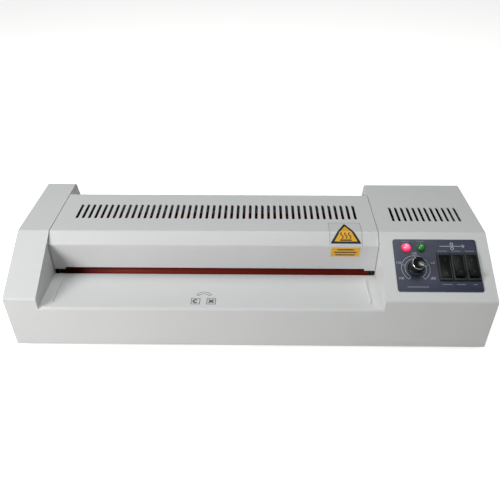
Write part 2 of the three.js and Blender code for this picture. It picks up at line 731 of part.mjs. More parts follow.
// Potentiometer behind the panel, its shaft, and the knob, all on one axis.
const pot = new THREE.Group();
pot.position.set(KNOB.x, KNOB.up, 0);
slope.add(pot);
const potBody = join(
  turnedAlongZ(rodProfile(-13, [[8.5, -SHEET - 2]]), 24),
  turnedAlongZ(rodProfile(-SHEET - 3, [[3.8, PANEL_TOP + 2]]), 20),
  block(-5, 5, -15, -6, -11, -9),
);
add("potentiometer", cut(potBody, turnedAlongZ(rodProfile(-9, [[2.4, 6]]), 16)), steel, pot);
add("potentiometer_shaft", turnedAlongZ(rodProfile(-7, [[2, 12]]), 16), aluminium, pot);

const KNOB_LOW = PANEL_TOP + 1;
const POINTER = THREE.MathUtils.degToRad(-124); // clockwise from straight up the slope, to the hottest mark
function knob() {
  const r = KNOB.radius;
  const profile = [
    [0, KNOB_LOW],
    [r, KNOB_LOW],
    [r, KNOB_LOW + 2],
    [r - 1.6, KNOB_LOW + 3.4],
    [r - 2.2, 14],
    [r - 3, 15],
    [0, 15],
  ];
  const ribs = [];
  for (let i = 0; i < 12; i++) {
    const rib = block(-0.5, 0.5, r - 2.6, r - 1.3, KNOB_LOW + 3, 13.5);
    ribs.push(rib.rotateZ((i * Math.PI) / 6));
  }
  const socket = turnedAlongZ(rodProfile(KNOB_LOW - 2, [[4.2, PANEL_TOP + 2.6], [2.3, 12.6]]), 20);
  const pointer = block(-0.5, 0.5, 1.5, r, 14.6, 16).rotateZ(POINTER);
  return cut(join(turnedAlongZ(profile, 24), ...ribs), socket, pointer);
}
add("temperature_knob", knob(), blackPlastic, pot);

// Three rocker switches side by side in one black housing.
const BEZEL_TOP = PANEL_TOP + GAP + 1.6;
const SWITCH_DEPTH = 22;
const ROCKER_MIDDLE = (SWITCHES.low + SWITCHES.high) / 2;
const ROCKER_TILT = THREE.MathUtils.degToRad(9);
const ROCKER_PIVOT = 0.6; // height of the rockers' pivots over the slope

function switchHousing() {
  const rim = block(SWITCHES.left, SWITCH_RIGHT, SWITCHES.low, SWITCHES.high, PANEL_TOP + GAP, BEZEL_TOP);
  const [low, high] = [SWITCHES.low + 1.9, SWITCHES.high - 1.9];
  const body = block(SWITCHES.left + 1.1, SWITCH_RIGHT - 1.1, low, high, -SWITCH_DEPTH, BEZEL_TOP - 0.5);
  const wells = [];
  const tabs = [];
  for (let i = 0; i < SWITCHES.count; i++) {
    const x0 = SWITCHES.left + i * SWITCHES.pitch;
    const well = [x0 + 1.9, x0 + SWITCHES.pitch - 1.9, SWITCHES.low + 2.6, SWITCHES.high - 2.6, -9.5, 9];
    wells.push(block(...well));
    for (const y of [-9, 0, 9]) {
      const x = x0 + SWITCHES.pitch / 2;
      const at = ROCKER_MIDDLE + y;
      tabs.push(block(x - 2.4, x + 2.4, at - 0.4, at + 0.4, -SWITCH_DEPTH - 8, -SWITCH_DEPTH + 1));
    }
  }
  return cut(join(rim, body, ...tabs), ...wells);
}
add("switch_housing", switchHousing(), blackPlastic, slope);

// One rocker in (Y, Z) about its pivot: two faces that meet over it, and a rounded underside.
function rockerShape() {
  const half = (SWITCHES.high - SWITCHES.low) / 2 - 3.1;
  const shape = new THREE.Shape();
  shape.moveTo(-half, 3.4);
  shape.lineTo(-half + 1, 4.6);
  shape.quadraticCurveTo(0, 0.9, half - 1, 4.6);
  shape.lineTo(half, 3.4);
  shape.lineTo(half - 0.6, 0);
  shape.lineTo(4, -5.5);
  shape.lineTo(-4, -5.5);
  shape.lineTo(-half + 0.6, 0);
  return shape;
}
const rockerNames = ["direction_rocker", "heat_rocker", "power_rocker"];
rockerNames.forEach((name, i) => {
  const x = SWITCHES.left + (i + 0.5) * SWITCHES.pitch;
  const halfWidth = SWITCHES.pitch / 2 - 2.2;
  const mesh = add(name, alongX(rockerShape(), -halfWidth, halfWidth), blackPlastic, slope);
  mesh.position.set(x, ROCKER_MIDDLE, ROCKER_PIVOT);
  mesh.rotation.x = i === 0 ? ROCKER_TILT : -ROCKER_TILT; // the first has its lower end pressed
});

// ---- Electrics in the control box ----

function circuitBoard() {
  const { x0, x1, y0, y1, z } = BOARD;
  const top = z + 1.6;
  return join(
    block(x0, x1, y0, y1, z, top),
    block(x0 + 8, x0 + 27, y0 + 12, y0 + 27, top - 0.2, top + 15), // relay
    block(x0 + 34, x0 + 50, y0 + 10, y0 + 16, top - 0.2, top + 22), // triac on its heat sink
    block(x0 + 30, x0 + 54, y0 + 16.2, y0 + 18.2, top - 0.2, top + 24),
    block(x0 + 34, x0 + 50, y0 + 15.6, y0 + 16.6, top + 2, top + 20),
    block(x0 + 8, x0 + 40, y1 - 14, y1 - 6, top - 0.2, top + 9), // terminal row
    turnedAlongZ(rodProfile(top - 0.2, [[6.5, top + 20]]), 16).translate(x1 - 16, y0 + 20, 0), // capacitor
    turnedAlongZ(rodProfile(top - 0.2, [[4, top + 12]]), 16).translate(x1 - 16, y0 + 38, 0),
  );
}
add("circuit_board", circuitBoard(), boardGreen);

function transformer() {
  const z = FLOOR + GAP;
  return join(
    block(203, 245, -20, 8, z, z + 34),
    block(209, 239, -28, 16, z + 7, z + 27),
    block(198, 250 - 3, -17, 5, z, z + 1.5),
  );
}
add("transformer", transformer(), steel);

// Mains inlet: flange outside, shroud through the wall, three pins inside the shroud.
function mainsInlet() {
  const { x, up, halfWidth, halfHeight } = INLET;
  const flange = alongZ(roundedRectangle(x - 11.2, x + 11.2, up - 20, up + 20, 3), GAP, 3);
  const shroud = block(x - halfWidth, x + halfWidth, up - halfHeight, up + halfHeight, -19, 2);
  const socket = alongZ(roundedRectangle(x - 8.4, x + 8.4, up - 12, up + 12, 1.5), -15, 6);
  const pins = [
    [1.9, -7],
    [1.9, 7],
    [-1.9, 0],
  ].map(([px, py]) => block(x + px - 1.9, x + px + 1.9, up + py - 1, up + py + 1, -26, -1.5));
  return join(cut(join(flange, shroud), socket), ...pins);
}
add("mains_inlet", mainsInlet(), blackPlastic, rearWall);

const fuse = rodProfile(-26, [
  [3, -20],
  [FUSE.radius, GAP],
  [8, 3],
  [6.4, 9],
]);
add("fuse_holder", turnedAlongZ(fuse, 20), blackPlastic, rearWall).position.set(FUSE.x, FUSE.up, 0);

// ---- Wiring loom: a trunk along the floor with branches ----

function lead(radius, ...points) {
  const path = new THREE.CatmullRomCurve3(points.map((p) => new THREE.Vector3(...p)));
  const section = new THREE.Shape().absarc(0, 0, radius, 0, 2 * Math.PI, false);
  return new THREE.ExtrudeGeometry(section, { steps: 20, curveSegments: 3, extrudePath: path });
}
const heaterRun = [
  [118, 5, 87],
  [40, 5, 80],
  [-50, 5, 77],
];
const loom = join(
  lead(2.6, [190, -28, 32], [190, -20, 20], [192, -8, 14.5], [192, 20, 14.5], [200, 45, 15], [215, 62, 16]),
  lead(1.6, [215, 61, 16], [222, 64, 17], [228, 66, 22.5], [230, 68.6, 27.8]),
  lead(1.4, [191, -10, 15], [180, 0, 24], [160, 5, 76], [146, 5, 88], ...heaterRun),
);
add("wiring_loom", loom, wire);

export default model;
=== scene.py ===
import json
import math

import bmesh
import bpy
from mathutils import Matrix, Vector


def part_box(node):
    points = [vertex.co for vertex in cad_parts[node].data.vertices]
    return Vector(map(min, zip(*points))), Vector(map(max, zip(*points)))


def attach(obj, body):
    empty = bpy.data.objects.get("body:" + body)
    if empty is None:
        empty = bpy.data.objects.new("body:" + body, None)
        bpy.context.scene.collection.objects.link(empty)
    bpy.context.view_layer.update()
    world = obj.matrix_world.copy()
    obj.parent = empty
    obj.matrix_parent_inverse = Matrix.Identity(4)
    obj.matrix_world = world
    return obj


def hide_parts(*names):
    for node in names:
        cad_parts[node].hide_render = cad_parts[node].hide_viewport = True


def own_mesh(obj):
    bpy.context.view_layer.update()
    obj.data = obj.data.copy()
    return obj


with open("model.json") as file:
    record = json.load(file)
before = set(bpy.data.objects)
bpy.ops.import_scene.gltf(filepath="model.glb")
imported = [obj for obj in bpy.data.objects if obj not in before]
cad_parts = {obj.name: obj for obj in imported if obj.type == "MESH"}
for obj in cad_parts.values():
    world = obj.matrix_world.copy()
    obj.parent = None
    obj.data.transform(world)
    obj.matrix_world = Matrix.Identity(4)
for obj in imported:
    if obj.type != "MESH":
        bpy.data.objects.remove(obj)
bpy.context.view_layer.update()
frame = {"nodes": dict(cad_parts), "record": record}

# A pouch laminator: a folded steel case with a control box at its right end, four silicone rollers and a
# geared motor inside. Metres, +X to the control box, +Y to the rear, +Z up.

scene = bpy.context.scene
mm = 0.001
quarterTurn = math.pi / 2


# Places worked out from the frame.
shellLow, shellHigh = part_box("outer_shell")
coverLow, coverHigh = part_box("top_cover")
rearLow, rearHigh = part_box("rear_panel")

casing = {
    "sheet": 1.2 * mm,
    "frontFoldHeight": 62.5 * mm,  # from the underside up to the fold into the slope
    "slopeDepth": 72.1 * mm,
    "rearSetBack": 30.6 * mm,  # how far the rear wall leans forward over its height
    "seam": 0.6 * mm,  # between the top cover and the end sections
    "edgeRadius": 1.3 * mm,
    "foldSteps": 8,
}
frontFoldZ = shellLow.z + casing["frontFoldHeight"]
slopeTopY = shellLow.y + casing["slopeDepth"]
topBackY = shellHigh.y - casing["rearSetBack"]
rearLean = casing["rearSetBack"] / (shellHigh.z - shellLow.z)
innerLeft = coverLow.x - casing["seam"]
innerRight = coverHigh.x + casing["seam"]
tableZ = rearHigh.z
tableBackY = coverLow.y - 1.2 * mm

slopeAngle = math.atan2(shellHigh.z - frontFoldZ, casing["slopeDepth"])
slopePlace = Matrix.Translation((0, shellLow.y, frontFoldZ)) @ Matrix.Rotation(slopeAngle, 4, "X")
# On the rear wall x runs to the left end, y up the wall and z out of it.
leanAngle = math.atan(rearLean)
rearPlace = (
    Matrix.Translation((0, shellHigh.y, shellLow.z))
    @ Matrix.Rotation(leanAngle + quarterTurn, 4, "X")
    @ Matrix.Rotation(math.pi, 4, "Y")
)


def localBox(node, place):
    # A node's lowest and highest corners in another frame.
    back = place.inverted()
    corners = [back @ v.co for v in frame["nodes"][node].data.vertices]
    low = Vector(min(c[i] for c in corners) for i in range(3))
    high = Vector(max(c[i] for c in corners) for i in range(3))
    return low, high


def middleOn(place, node):
    # The middle of a node's box on the flat of another frame.
    low, high = localBox(node, place)
    return Vector(((low.x + high.x) / 2, (low.y + high.y) / 2, 0))


def camelName(node):
    first, *rest = node.split("_")
    return first + "".join(word.title() for word in rest)


def jointPlace(name):
    return next(Vector(j["pos_m"]) for j in frame["record"]["behaviour"]["joints"] if j["name"] == name)


# Mesh helpers.
def placePart(bm, place):
    bmesh.ops.transform(bm, matrix=place, verts=bm.verts)
    return bm


def addPart(bm, part, place=None):
    # Adds one bmesh's shape to another, and frees it.
    mesh = bpy.data.meshes.new("part")
    if place is not None:
        placePart(part, place)
    part.to_mesh(mesh)
    part.free()
    bm.from_mesh(mesh)
    bpy.data.meshes.remove(mesh)
    return bm


def bevelEdges(bm, edges, radius, steps=3):
    bmesh.ops.bevel(
        bm, geom=list(edges), offset=radius, offset_type="OFFSET", segments=steps, profile=0.5,
        affect="EDGES", material=-1, clamp_overlap=True,
    )


def sharpEdges(bm, minimum=35, convex=False):
    limit = math.radians(minimum)
    found = [e for e in bm.edges if len(e.link_faces) == 2 and e.calc_face_angle(0) > limit]
    return [e for e in found if e.is_convex] if convex else found


def bevelRim(bm, z, radius, steps):
    # Rounds the edges of the flat face at height z.
    bevelEdges(
        bm, [e for e in sharpEdges(bm, 60) if all(abs(v.co.z - z) < 1e-6 for v in e.verts)], radius, steps,
    )


def uprightEdges(bm):
    return [e for e in bm.edges if abs((e.verts[0].co - e.verts[1].co).normalized().z) > 0.9]


def boxPart(low, high, corner=0, edge=0, steps=4):
    # A box whose upright corners are rounded by corner, and whose other edges by edge.
    bm = bmesh.new()
    low, high = Vector(low), Vector(high)
    bmesh.ops.create_cube(bm, size=1)
    bmesh.ops.scale(bm, vec=high - low, verts=bm.verts)
    bmesh.ops.translate(bm, vec=(low + high) / 2, verts=bm.verts)
    if corner:
        bevelEdges(bm, uprightEdges(bm), corner, steps)
    if edge:
        bevelEdges(bm, sharpEdges(bm, 60), edge, 2)
    return bm


def turnedPart(points, steps=48):
    # Turned about Z from [radius, height] points.
    bm = bmesh.new()
    verts = [bm.verts.new((r, 0, z)) for r, z in points]
    edges = [bm.edges.new(pair) for pair in zip(verts, verts[1:])]
    bmesh.ops.spin(
        bm, geom=verts + edges, cent=(0, 0, 0), axis=(0, 0, 1), dvec=(0, 0, 0), angle=2 * math.pi,
        steps=steps, use_merge=True, use_duplicate=False,
    )
    bmesh.ops.remove_doubles(bm, verts=bm.verts, dist=1e-7)
    bmesh.ops.recalc_face_normals(bm, faces=bm.faces)
    return bm


def rodPart(radius, low, high, steps=32):
    return turnedPart([(0, low), (radius, low), (radius, high), (0, high)], steps)


def prismPart(outline, low, high, axis="X"):
    # A flat outline of [a, b] points drawn out along an axis: (Y, Z) along X, or (X, Y) along Z.
    bm = bmesh.new()
    if axis == "X":
        verts = [bm.verts.new((low, a, b)) for a, b in outline]
        along = Vector((high - low, 0, 0))
    else:
        verts = [bm.verts.new((a, b, low)) for a, b in outline]
        along = Vector((0, 0, high - low))
    face = bm.faces.new(verts)
    made = bmesh.ops.extrude_face_region(bm, geom=[face], use_keep_orig=True)["geom"]
    bmesh.ops.translate(bm, vec=along, verts=[g for g in made if isinstance(g, bmesh.types.BMVert)])
    bmesh.ops.recalc_face_normals(bm, faces=bm.faces)
    return bm


def roundFolds(bm, folds, steps=None):
    # Rounds the edges that run along X through each [y, z, radius].
    for y, z, radius in folds:
        edges = [
            e for e in bm.edges
            if all(abs(v.co.y - y) < 1e-6 and abs(v.co.z - z) < 1e-6 for v in e.verts)
        ]
        turn = edges[0].calc_face_angle(0)
        bevelEdges(bm, edges, radius * math.tan(turn / 2), steps or casing["foldSteps"])


def offsetLine(points, distance):
    # An open line of [y, z] points moved to its own right.
    moved = []
    ends = [Vector(p[:2]) for p in points]
    ways = [(b - a).normalized() for a, b in zip(ends, ends[1:])]
    rights = [Vector((w.y, -w.x)) for w in ways]
    moved.append(ends[0] + rights[0] * distance)
    for i in range(1, len(ends) - 1):
        bisector = rights[i - 1] + rights[i]
        moved.append(ends[i] + bisector * (distance / (1 + rights[i - 1].dot(rights[i]))))
    moved.append(ends[-1] + rights[-1] * distance)
    return moved


def addObject(name, data):
    made = bpy.data.objects.new(name, data)
    scene.collection.objects.link(made)
    return made


def meshObject(bm, name):
    mesh = bpy.data.meshes.new(name)
    bm.to_mesh(mesh)
    bm.free()
    return addObject(name, mesh)


def newPiece(bm, name, body, material, replaced=(), sharp=35):
    piece = meshObject(bm, name)
    piece.data.materials.append(material)
    shadeByAngle(piece, sharp)
    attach(piece, body)
    if replaced:
        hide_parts(*replaced)
    return piece


def shadeByAngle(piece, sharp=35):
    piece.data.polygons.foreach_set("use_smooth", [True] * len(piece.data.polygons))
    piece.data.set_sharp_from_angle(angle=math.radians(sharp))


def settle(piece, sharp=35):
    # Makes the piece's modifiers part of its mesh.
    graph = bpy.context.evaluated_depsgraph_get()
    old = piece.data
    piece.data = bpy.data.meshes.new_from_object(piece.evaluated_get(graph))
    piece.modifiers.clear()
    piece.data.name = old.name
    shadeByAngle(piece, sharp)


def carve(piece, *cutters, operation="DIFFERENCE"):
    # Cuts each bmesh out of the piece.
    tools = [meshObject(cutter, "cutter") for cutter in cutters]
    for tool in tools:
        modifier = piece.modifiers.new("cut", "BOOLEAN")
        modifier.operation = operation
        modifier.solver = "EXACT"
        modifier.object = tool
    bpy.context.view_layer.update()
    settle(piece)
    for tool in tools:
        bpy.data.objects.remove(tool)


def softenEdges(piece, width, minimum=50, steps=2):
    modifier = piece.modifiers.new("soft edges", "BEVEL")
    modifier.width = width
    modifier.segments = steps
    modifier.limit_method = "ANGLE"
    modifier.angle_limit = math.radians(minimum)
    modifier.use_clamp_overlap = True
    settle(piece)
    weight = piece.modifiers.new("flat faces", "WEIGHTED_NORMAL")
    weight.keep_sharp = True
    weight.weight = 60


# Camera, floor and lights.
view = {
    "lens": 39.24,
    "place": (0.01140, -0.52543, 0.43154),
    "down": 36.37,
    "toLeft": 0.83,
    "roll": -0.14,
    "shift": (-0.0092, 0.0211),
}


def addCamera():
    data = bpy.data.cameras.new("camera")
    data.lens = view["lens"]
    data.sensor_width = 36
    data.shift_x, data.shift_y = view["shift"]
    data.clip_start = 0.02
    camera = addObject("camera", data)
    turn = (
        Matrix.Rotation(math.radians(view["toLeft"]), 4, "Z")
        @ Matrix.Rotation(quarterTurn - math.radians(view["down"]), 4, "X")
        @ Matrix.Rotation(math.radians(view["roll"]), 4, "Z")
    )
    camera.matrix_world = Matrix.Translation(view["place"]) @ turn
    scene.camera = camera


studio = {
    "floorColour": (0.93, 0.895, 0.875, 1),
    "floorGlow": 0.75,  # what the camera sees the floor brighter by, as a lit studio sweep is
    "worldColour": (1.0, 1.0, 1.0, 1),
    "worldStrength": 0.06,
    "key": {"place": (-0.96, -0.72, 0.66), "size": 0.66, "power": 13.5, "colour": (0.99, 1.0, 1.0)},
    "top": {"place": (0.1, 0.1, 1.5), "size": 1.2, "power": 10.4, "colour": (0.95, 1.0, 1.0)},
}


def addLight(name, values):
    data = bpy.data.lights.new(name, "AREA")
    data.shape = "DISK"
    data.size = values["size"]
    data.energy = values["power"]
    data.color = values["colour"]
    light = addObject(name, data)
    place = Vector(values["place"])
    light.location = place
    light.rotation_euler = (Vector((0, 0, 0.05)) - place).to_track_quat("-Z", "Y").to_euler()


def addStudio():
    world = bpy.data.worlds.new("studio")
    world.use_nodes = True
    scene.world = world
    background = world.node_tree.nodes["Background"]
    background.inputs["Color"].default_value = studio["worldColour"]
    background.inputs["Strength"].default_value = studio["worldStrength"]
    for name in ("key", "top"):
        addLight(name, studio[name])
    bm = bmesh.new()
    bmesh.ops.create_grid(bm, x_segments=1, y_segments=1, size=6)
    floor = meshObject(bm, "floor")
    material, tree, shader = newMaterial("pale floor")
    shader.inputs["Base Color"].default_value = studio["floorColour"]
    shader.inputs["Roughness"].default_value = 0.9
    shader.inputs["Emission Color"].default_value = (1, 1, 1, 1)
    path = tree.nodes.new("ShaderNodeLightPath")
    glow = mathNode(tree, "MULTIPLY", path.outputs["Is Camera Ray"], studio["floorGlow"])
    tree.links.new(glow, shader.inputs["Emission Strength"])
    floor.data.materials.append(material)
    scene.view_settings.view_transform = "Standard"
    scene.view_settings.look = "None"


# Shader node groups.
def newMaterial(name):
    material = bpy.data.materials.new(name)
    material.use_nodes = True
    tree = material.node_tree
    return material, tree, tree.nodes["Principled BSDF"]


def newGroup(name, inputs, outputs):
    group = bpy.data.node_groups.new(name, "ShaderNodeTree")
    kinds = {"number": "NodeSocketFloat", "colour": "NodeSocketColor", "vector": "NodeSocketVector"}
    for socketName, kind, start in inputs:
        socket = group.interface.new_socket(socketName, in_out="INPUT", socket_type=kinds[kind])
        if start is not None:
            socket.default_value = start
    for socketName, kind in outputs:
        group.interface.new_socket(socketName, in_out="OUTPUT", socket_type=kinds[kind])
    return group, group.nodes.new("NodeGroupInput"), group.nodes.new("NodeGroupOutput")


def feed(tree, socket, value):
    # Links an output to a socket, or sets the socket's own value.
    if isinstance(value, bpy.types.NodeSocket):
        tree.links.new(value, socket)
    elif value is not None:
        socket.default_value = (*value[:3], 1) if socket.type == "RGBA" else value


def noise(tree, vector, scale, detail=2.0, roughness=0.5):
    node = tree.nodes.new("ShaderNodeTexNoise")
    for name, value in (("Vector", vector), ("Scale", scale), ("Detail", detail), ("Roughness", roughness)):
        feed(tree, node.inputs[name], value)
    return node.outputs["Fac"]


def mathNode(tree, operation, *values):
    node = tree.nodes.new("ShaderNodeMath")
    node.operation = operation
    for socket, value in zip(node.inputs, values):
        feed(tree, socket, value)
    return node.outputs[0]


def vectorNode(tree, operation, *values, output="Vector"):
    node = tree.nodes.new("ShaderNodeVectorMath")
    node.operation = operation
    for socket, value in zip(node.inputs, values):
        feed(tree, socket, value)
    return node.outputs[output]


def rangeNode(tree, value, low, high):
    # Takes low to 0 and high to 1, and holds there.
    node = tree.nodes.new("ShaderNodeMapRange")
    node.clamp = True
    for name, number in (("Value", value), ("From Min", low), ("From Max", high)):
        feed(tree, node.inputs[name], number)
    return node.outputs["Result"]


def mixColour(tree, factor, a, b):
    node = tree.nodes.new("ShaderNodeMix")
    node.data_type = "RGBA"
    colourSockets = [s for s in node.inputs if s.type == "RGBA"]
    for socket, value in zip((node.inputs[0], *colourSockets), (factor, a, b)):
        feed(tree, socket, value)
    return next(s for s in node.outputs if s.type == "RGBA")


def giveOutputs(group, end, *values):
    for value, socket in zip(values, end.inputs):
        group.links.new(value, socket)
    return group


def makeGrainGroup():
    # Fine grain with slow changes of tone: for powder coat, moulded plastic, rubber and castings.
    group, start, end = newGroup(
        "fineGrain",
        [("Vector", "vector", None), ("Base", "colour", None), ("Speckle", "colour", None),
         ("Grain Scale", "number", 900.0), ("Speckle Amount", "number", 0.15),
         ("Tone Amount", "number", 0.06),
         ("Roughness", "number", 0.5), ("Roughness Change", "number", 0.08)],
        [("Colour", "colour"), ("Roughness", "number"), ("Height", "number")],
    )
    vector = start.outputs["Vector"]
    fine = noise(group, vector, start.outputs["Grain Scale"], 3.0, 0.55)
    slow = noise(group, vector, 9.0, 2.0, 0.5)
    speckle = mathNode(group, "MULTIPLY", rangeNode(group, fine, 0.54, 0.68), start.outputs["Speckle Amount"])
    colour = mixColour(group, speckle, start.outputs["Base"], start.outputs["Speckle"])
    tone = mathNode(group, "MULTIPLY", rangeNode(group, slow, 0.35, 0.65), start.outputs["Tone Amount"])
    colour = mixColour(group, tone, colour, start.outputs["Speckle"])
    change = mathNode(group, "SUBTRACT", fine, 0.5)
    rough = mathNode(
        group, "MULTIPLY_ADD", change, start.outputs["Roughness Change"], start.outputs["Roughness"],
    )
    return giveOutputs(group, end, colour, rough, fine)


def makeEdgeGroup():
    # A mask along outer edges, broken up by noise, where handling has worn or polished the surface; the
    # lighter colour it brings in is also a painted highlight along the edges.
    group, start, end = newGroup(
        "edgeWear",
        [("Vector", "vector", None), ("Amount", "number", 0.3)],
        [("Mask", "number")],
    )
    bevel = group.nodes.new("ShaderNodeBevel")
    bevel.samples = 4
    bevel.inputs["Radius"].default_value = 0.9 * mm
    geometry = group.nodes.new("ShaderNodeNewGeometry")
    normals = bevel.outputs["Normal"], geometry.outputs["Normal"]
    edge = rangeNode(group, vectorNode(group, "DOT_PRODUCT", *normals, output="Value"), 0.995, 0.9)
    broken = rangeNode(group, noise(group, start.outputs["Vector"], 260.0, 3.0, 0.6), 0.42, 0.62)
    # worn is the edge mask: real wear and a painted edge highlight together
    worn = mathNode(group, "MULTIPLY", edge, broken)
    return giveOutputs(group, end, mathNode(group, "MULTIPLY", worn, start.outputs["Amount"]))


def makeDustGroup():
    # Faint dust that settles on faces that look up.
    group, start, end = newGroup(
        "settledDust",
        [("Vector", "vector", None), ("Amount", "number", 0.1)],
        [("Mask", "number")],
    )
    geometry = group.nodes.new("ShaderNodeNewGeometry")
    split = group.nodes.new("ShaderNodeSeparateXYZ")
    group.links.new(geometry.outputs["Normal"], split.inputs[0])
    upward = rangeNode(group, split.outputs["Z"], 0.4, 1.0)
    patches = rangeNode(group, noise(group, start.outputs["Vector"], 38.0, 5.0, 0.65), 0.4, 0.75)
    dust = mathNode(group, "MULTIPLY", upward, patches)
    return giveOutputs(group, end, mathNode(group, "MULTIPLY", dust, start.outputs["Amount"]))


def makeBrushGroup():
    # Long fine scratches along one direction: for ground and brushed metal.
    group, start, end = newGroup(
        "brushLines",
        [("Vector", "vector", None), ("Base", "colour", None), ("Line", "colour", None),
         ("Roughness", "number", 0.3), ("Stretch", "vector", (0.02, 1.0, 1.0))],
        [("Colour", "colour"), ("Roughness", "number"), ("Height", "number")],
    )
    stretched = vectorNode(group, "MULTIPLY", start.outputs["Vector"], start.outputs["Stretch"])
    lines = noise(group, stretched, 1400.0, 4.0, 0.6)
    blotch = noise(group, start.outputs["Vector"], 60.0, 3.0, 0.5)
    mask = mathNode(group, "MULTIPLY", rangeNode(group, lines, 0.3, 0.7), 0.5)
    colour = mixColour(group, mask, start.outputs["Base"], start.outputs["Line"])
    rough = mathNode(
        group, "MULTIPLY_ADD", mathNode(group, "SUBTRACT", lines, 0.5), 0.18, start.outputs["Roughness"],
    )
    rough = mathNode(group, "MULTIPLY_ADD", mathNode(group, "SUBTRACT", blotch, 0.5), 0.1, rough)
    return giveOutputs(group, end, colour, rough, lines)


grainGroup = makeGrainGroup()
edgeWearAndHighlightGroup = makeEdgeGroup()
dustGroup = makeDustGroup()
brushGroup = makeBrushGroup()
print("shader groups made")


# Materials.
def useGroup(tree, group, vector, **values):
    node = tree.nodes.new("ShaderNodeGroup")
    node.node_tree = group
    tree.links.new(vector, node.inputs["Vector"])
    for name, value in values.items():
        feed(tree, node.inputs[name], value)
    return node


def objectPlace(tree):
    return tree.nodes.new("ShaderNodeTexCoord").outputs["Object"]


def addBump(tree, shader, height, distance, strength=0.5):
    bump = tree.nodes.new("ShaderNodeBump")
    bump.inputs["Distance"].default_value = distance
    bump.inputs["Strength"].default_value = strength
    tree.links.new(height, bump.inputs["Height"])
    tree.links.new(bump.outputs["Normal"], shader.inputs["Normal"])


def grainMaterial(
    name, base, speckle, scale, roughness, speckleAmount=0.15, tone=0.06, change=0.08, bump=0.03, wear=None,
    edgeWearAndHighlightColour=(0.8, 0.8, 0.8), dust=0.0, metallic=0.0, coat=0.0, ior=1.5,
):
    material, tree, shader = newMaterial(name)
    vector = objectPlace(tree)
    grain = useGroup(tree, grainGroup, vector, **{
        "Base": base, "Speckle": speckle, "Grain Scale": scale, "Speckle Amount": speckleAmount,
        "Tone Amount": tone, "Roughness": roughness, "Roughness Change": change,
    })
    colour = grain.outputs["Colour"]
    # lighter outer edges: partly wear, partly a painted highlight where edges catch the light
    if wear:
        worn = useGroup(tree, edgeWearAndHighlightGroup, vector, Amount=wear)
        colour = mixColour(tree, worn.outputs["Mask"], colour, edgeWearAndHighlightColour)
    if dust:
        settled = useGroup(tree, dustGroup, vector, Amount=dust)
        colour = mixColour(tree, settled.outputs["Mask"], colour, (0.62, 0.6, 0.56))
    tree.links.new(colour, shader.inputs["Base Color"])
    tree.links.new(grain.outputs["Roughness"], shader.inputs["Roughness"])
    shader.inputs["Metallic"].default_value = metallic
    shader.inputs["Coat Weight"].default_value = coat
    shader.inputs["Coat Roughness"].default_value = 0.12
    shader.inputs["IOR"].default_value = ior
    addBump(tree, shader, grain.outputs["Height"], bump * mm)
    return material


def metalMaterial(name, base, line, roughness, stretch=(0.02, 1.0, 1.0), bump=0.004):
    material, tree, shader = newMaterial(name)
    brushed = useGroup(
        tree, brushGroup, objectPlace(tree), Base=base, Line=line, Roughness=roughness, Stretch=stretch,
    )
    tree.links.new(brushed.outputs["Colour"], shader.inputs["Base Color"])
    tree.links.new(brushed.outputs["Roughness"], shader.inputs["Roughness"])
    shader.inputs["Metallic"].default_value = 1.0
    addBump(tree, shader, brushed.outputs["Height"], bump * mm, 0.4)
    return material


def lensMaterial(name, rim, middle, axis, radius, strength):
    # A moulded lamp lens, brighter towards its middle; axis is a point and a direction. The glow is the
    # lamp's own light on a lit lens and a painted glow on an unlit one.
    material, tree, shader = newMaterial(name)
    point, way = axis
    offset = vectorNode(tree, "SUBTRACT", objectPlace(tree), point)
    across = vectorNode(tree, "CROSS_PRODUCT", offset, way)
    length = vectorNode(tree, "LENGTH", across, output="Value")
    facets = noise(tree, offset, 700.0, 2.0, 0.4)
    jitter = mathNode(tree, "SUBTRACT", facets, 0.5)
    reach = mathNode(tree, "MULTIPLY_ADD", jitter, radius * 0.5, length)
    towards = rangeNode(tree, reach, radius, radius * 0.15)
    colour = mixColour(tree, towards, rim, middle)
    tree.links.new(colour, shader.inputs["Base Color"])
    tree.links.new(colour, shader.inputs["Emission Color"])
    shader.inputs["Emission Strength"].default_value = strength
    shader.inputs["Roughness"].default_value = 0.08
    shader.inputs["Coat Weight"].default_value = 0.6
    shader.inputs["Coat Roughness"].default_value = 0.03
    addBump(tree, shader, facets, 0.05 * mm, 0.3)
    return material


# The lighter edge colours given to these paints and mouldings are partly wear and partly a painted edge
# highlight.
casingPaint = grainMaterial(
    "casing powder coat", base=(0.665, 0.665, 0.662), speckle=(0.505, 0.505, 0.505), scale=1100,
    roughness=0.46,
    speckleAmount=0.1, tone=0.05, change=0.12, bump=0.02, wear=0.25, edgeWearAndHighlightColour=(0.78, 0.79, 0.78), dust=0.05,
)
basePaint = grainMaterial(
    "base powder coat", base=(0.045, 0.047, 0.05), speckle=(0.1, 0.1, 0.105), scale=1300, roughness=0.55,
    speckleAmount=0.3, bump=0.04, wear=0.4, edgeWearAndHighlightColour=(0.3, 0.3, 0.3),
)
panelOverlay = grainMaterial(
    "navy panel overlay", base=(0.026, 0.031, 0.062), speckle=(0.04, 0.047, 0.085), scale=2400,
    roughness=0.42,
    speckleAmount=0.35, tone=0.12, bump=0.008, wear=0.25, edgeWearAndHighlightColour=(0.3, 0.33, 0.4),
)
glossBlack = grainMaterial(
    "glossy black moulding", base=(0.006, 0.006, 0.0065), speckle=(0.014, 0.014, 0.016), scale=500,
    roughness=0.2,
    speckleAmount=0.3, tone=0.3, change=0.1, bump=0.003, coat=0.3,
)
satinBlack = grainMaterial(
    "satin black moulding", base=(0.007, 0.007, 0.0075), speckle=(0.018, 0.018, 0.019), scale=1800,
    roughness=0.5,
    speckleAmount=0.4, tone=0.2, bump=0.015, wear=0.12, edgeWearAndHighlightColour=(0.03, 0.03, 0.03),
)
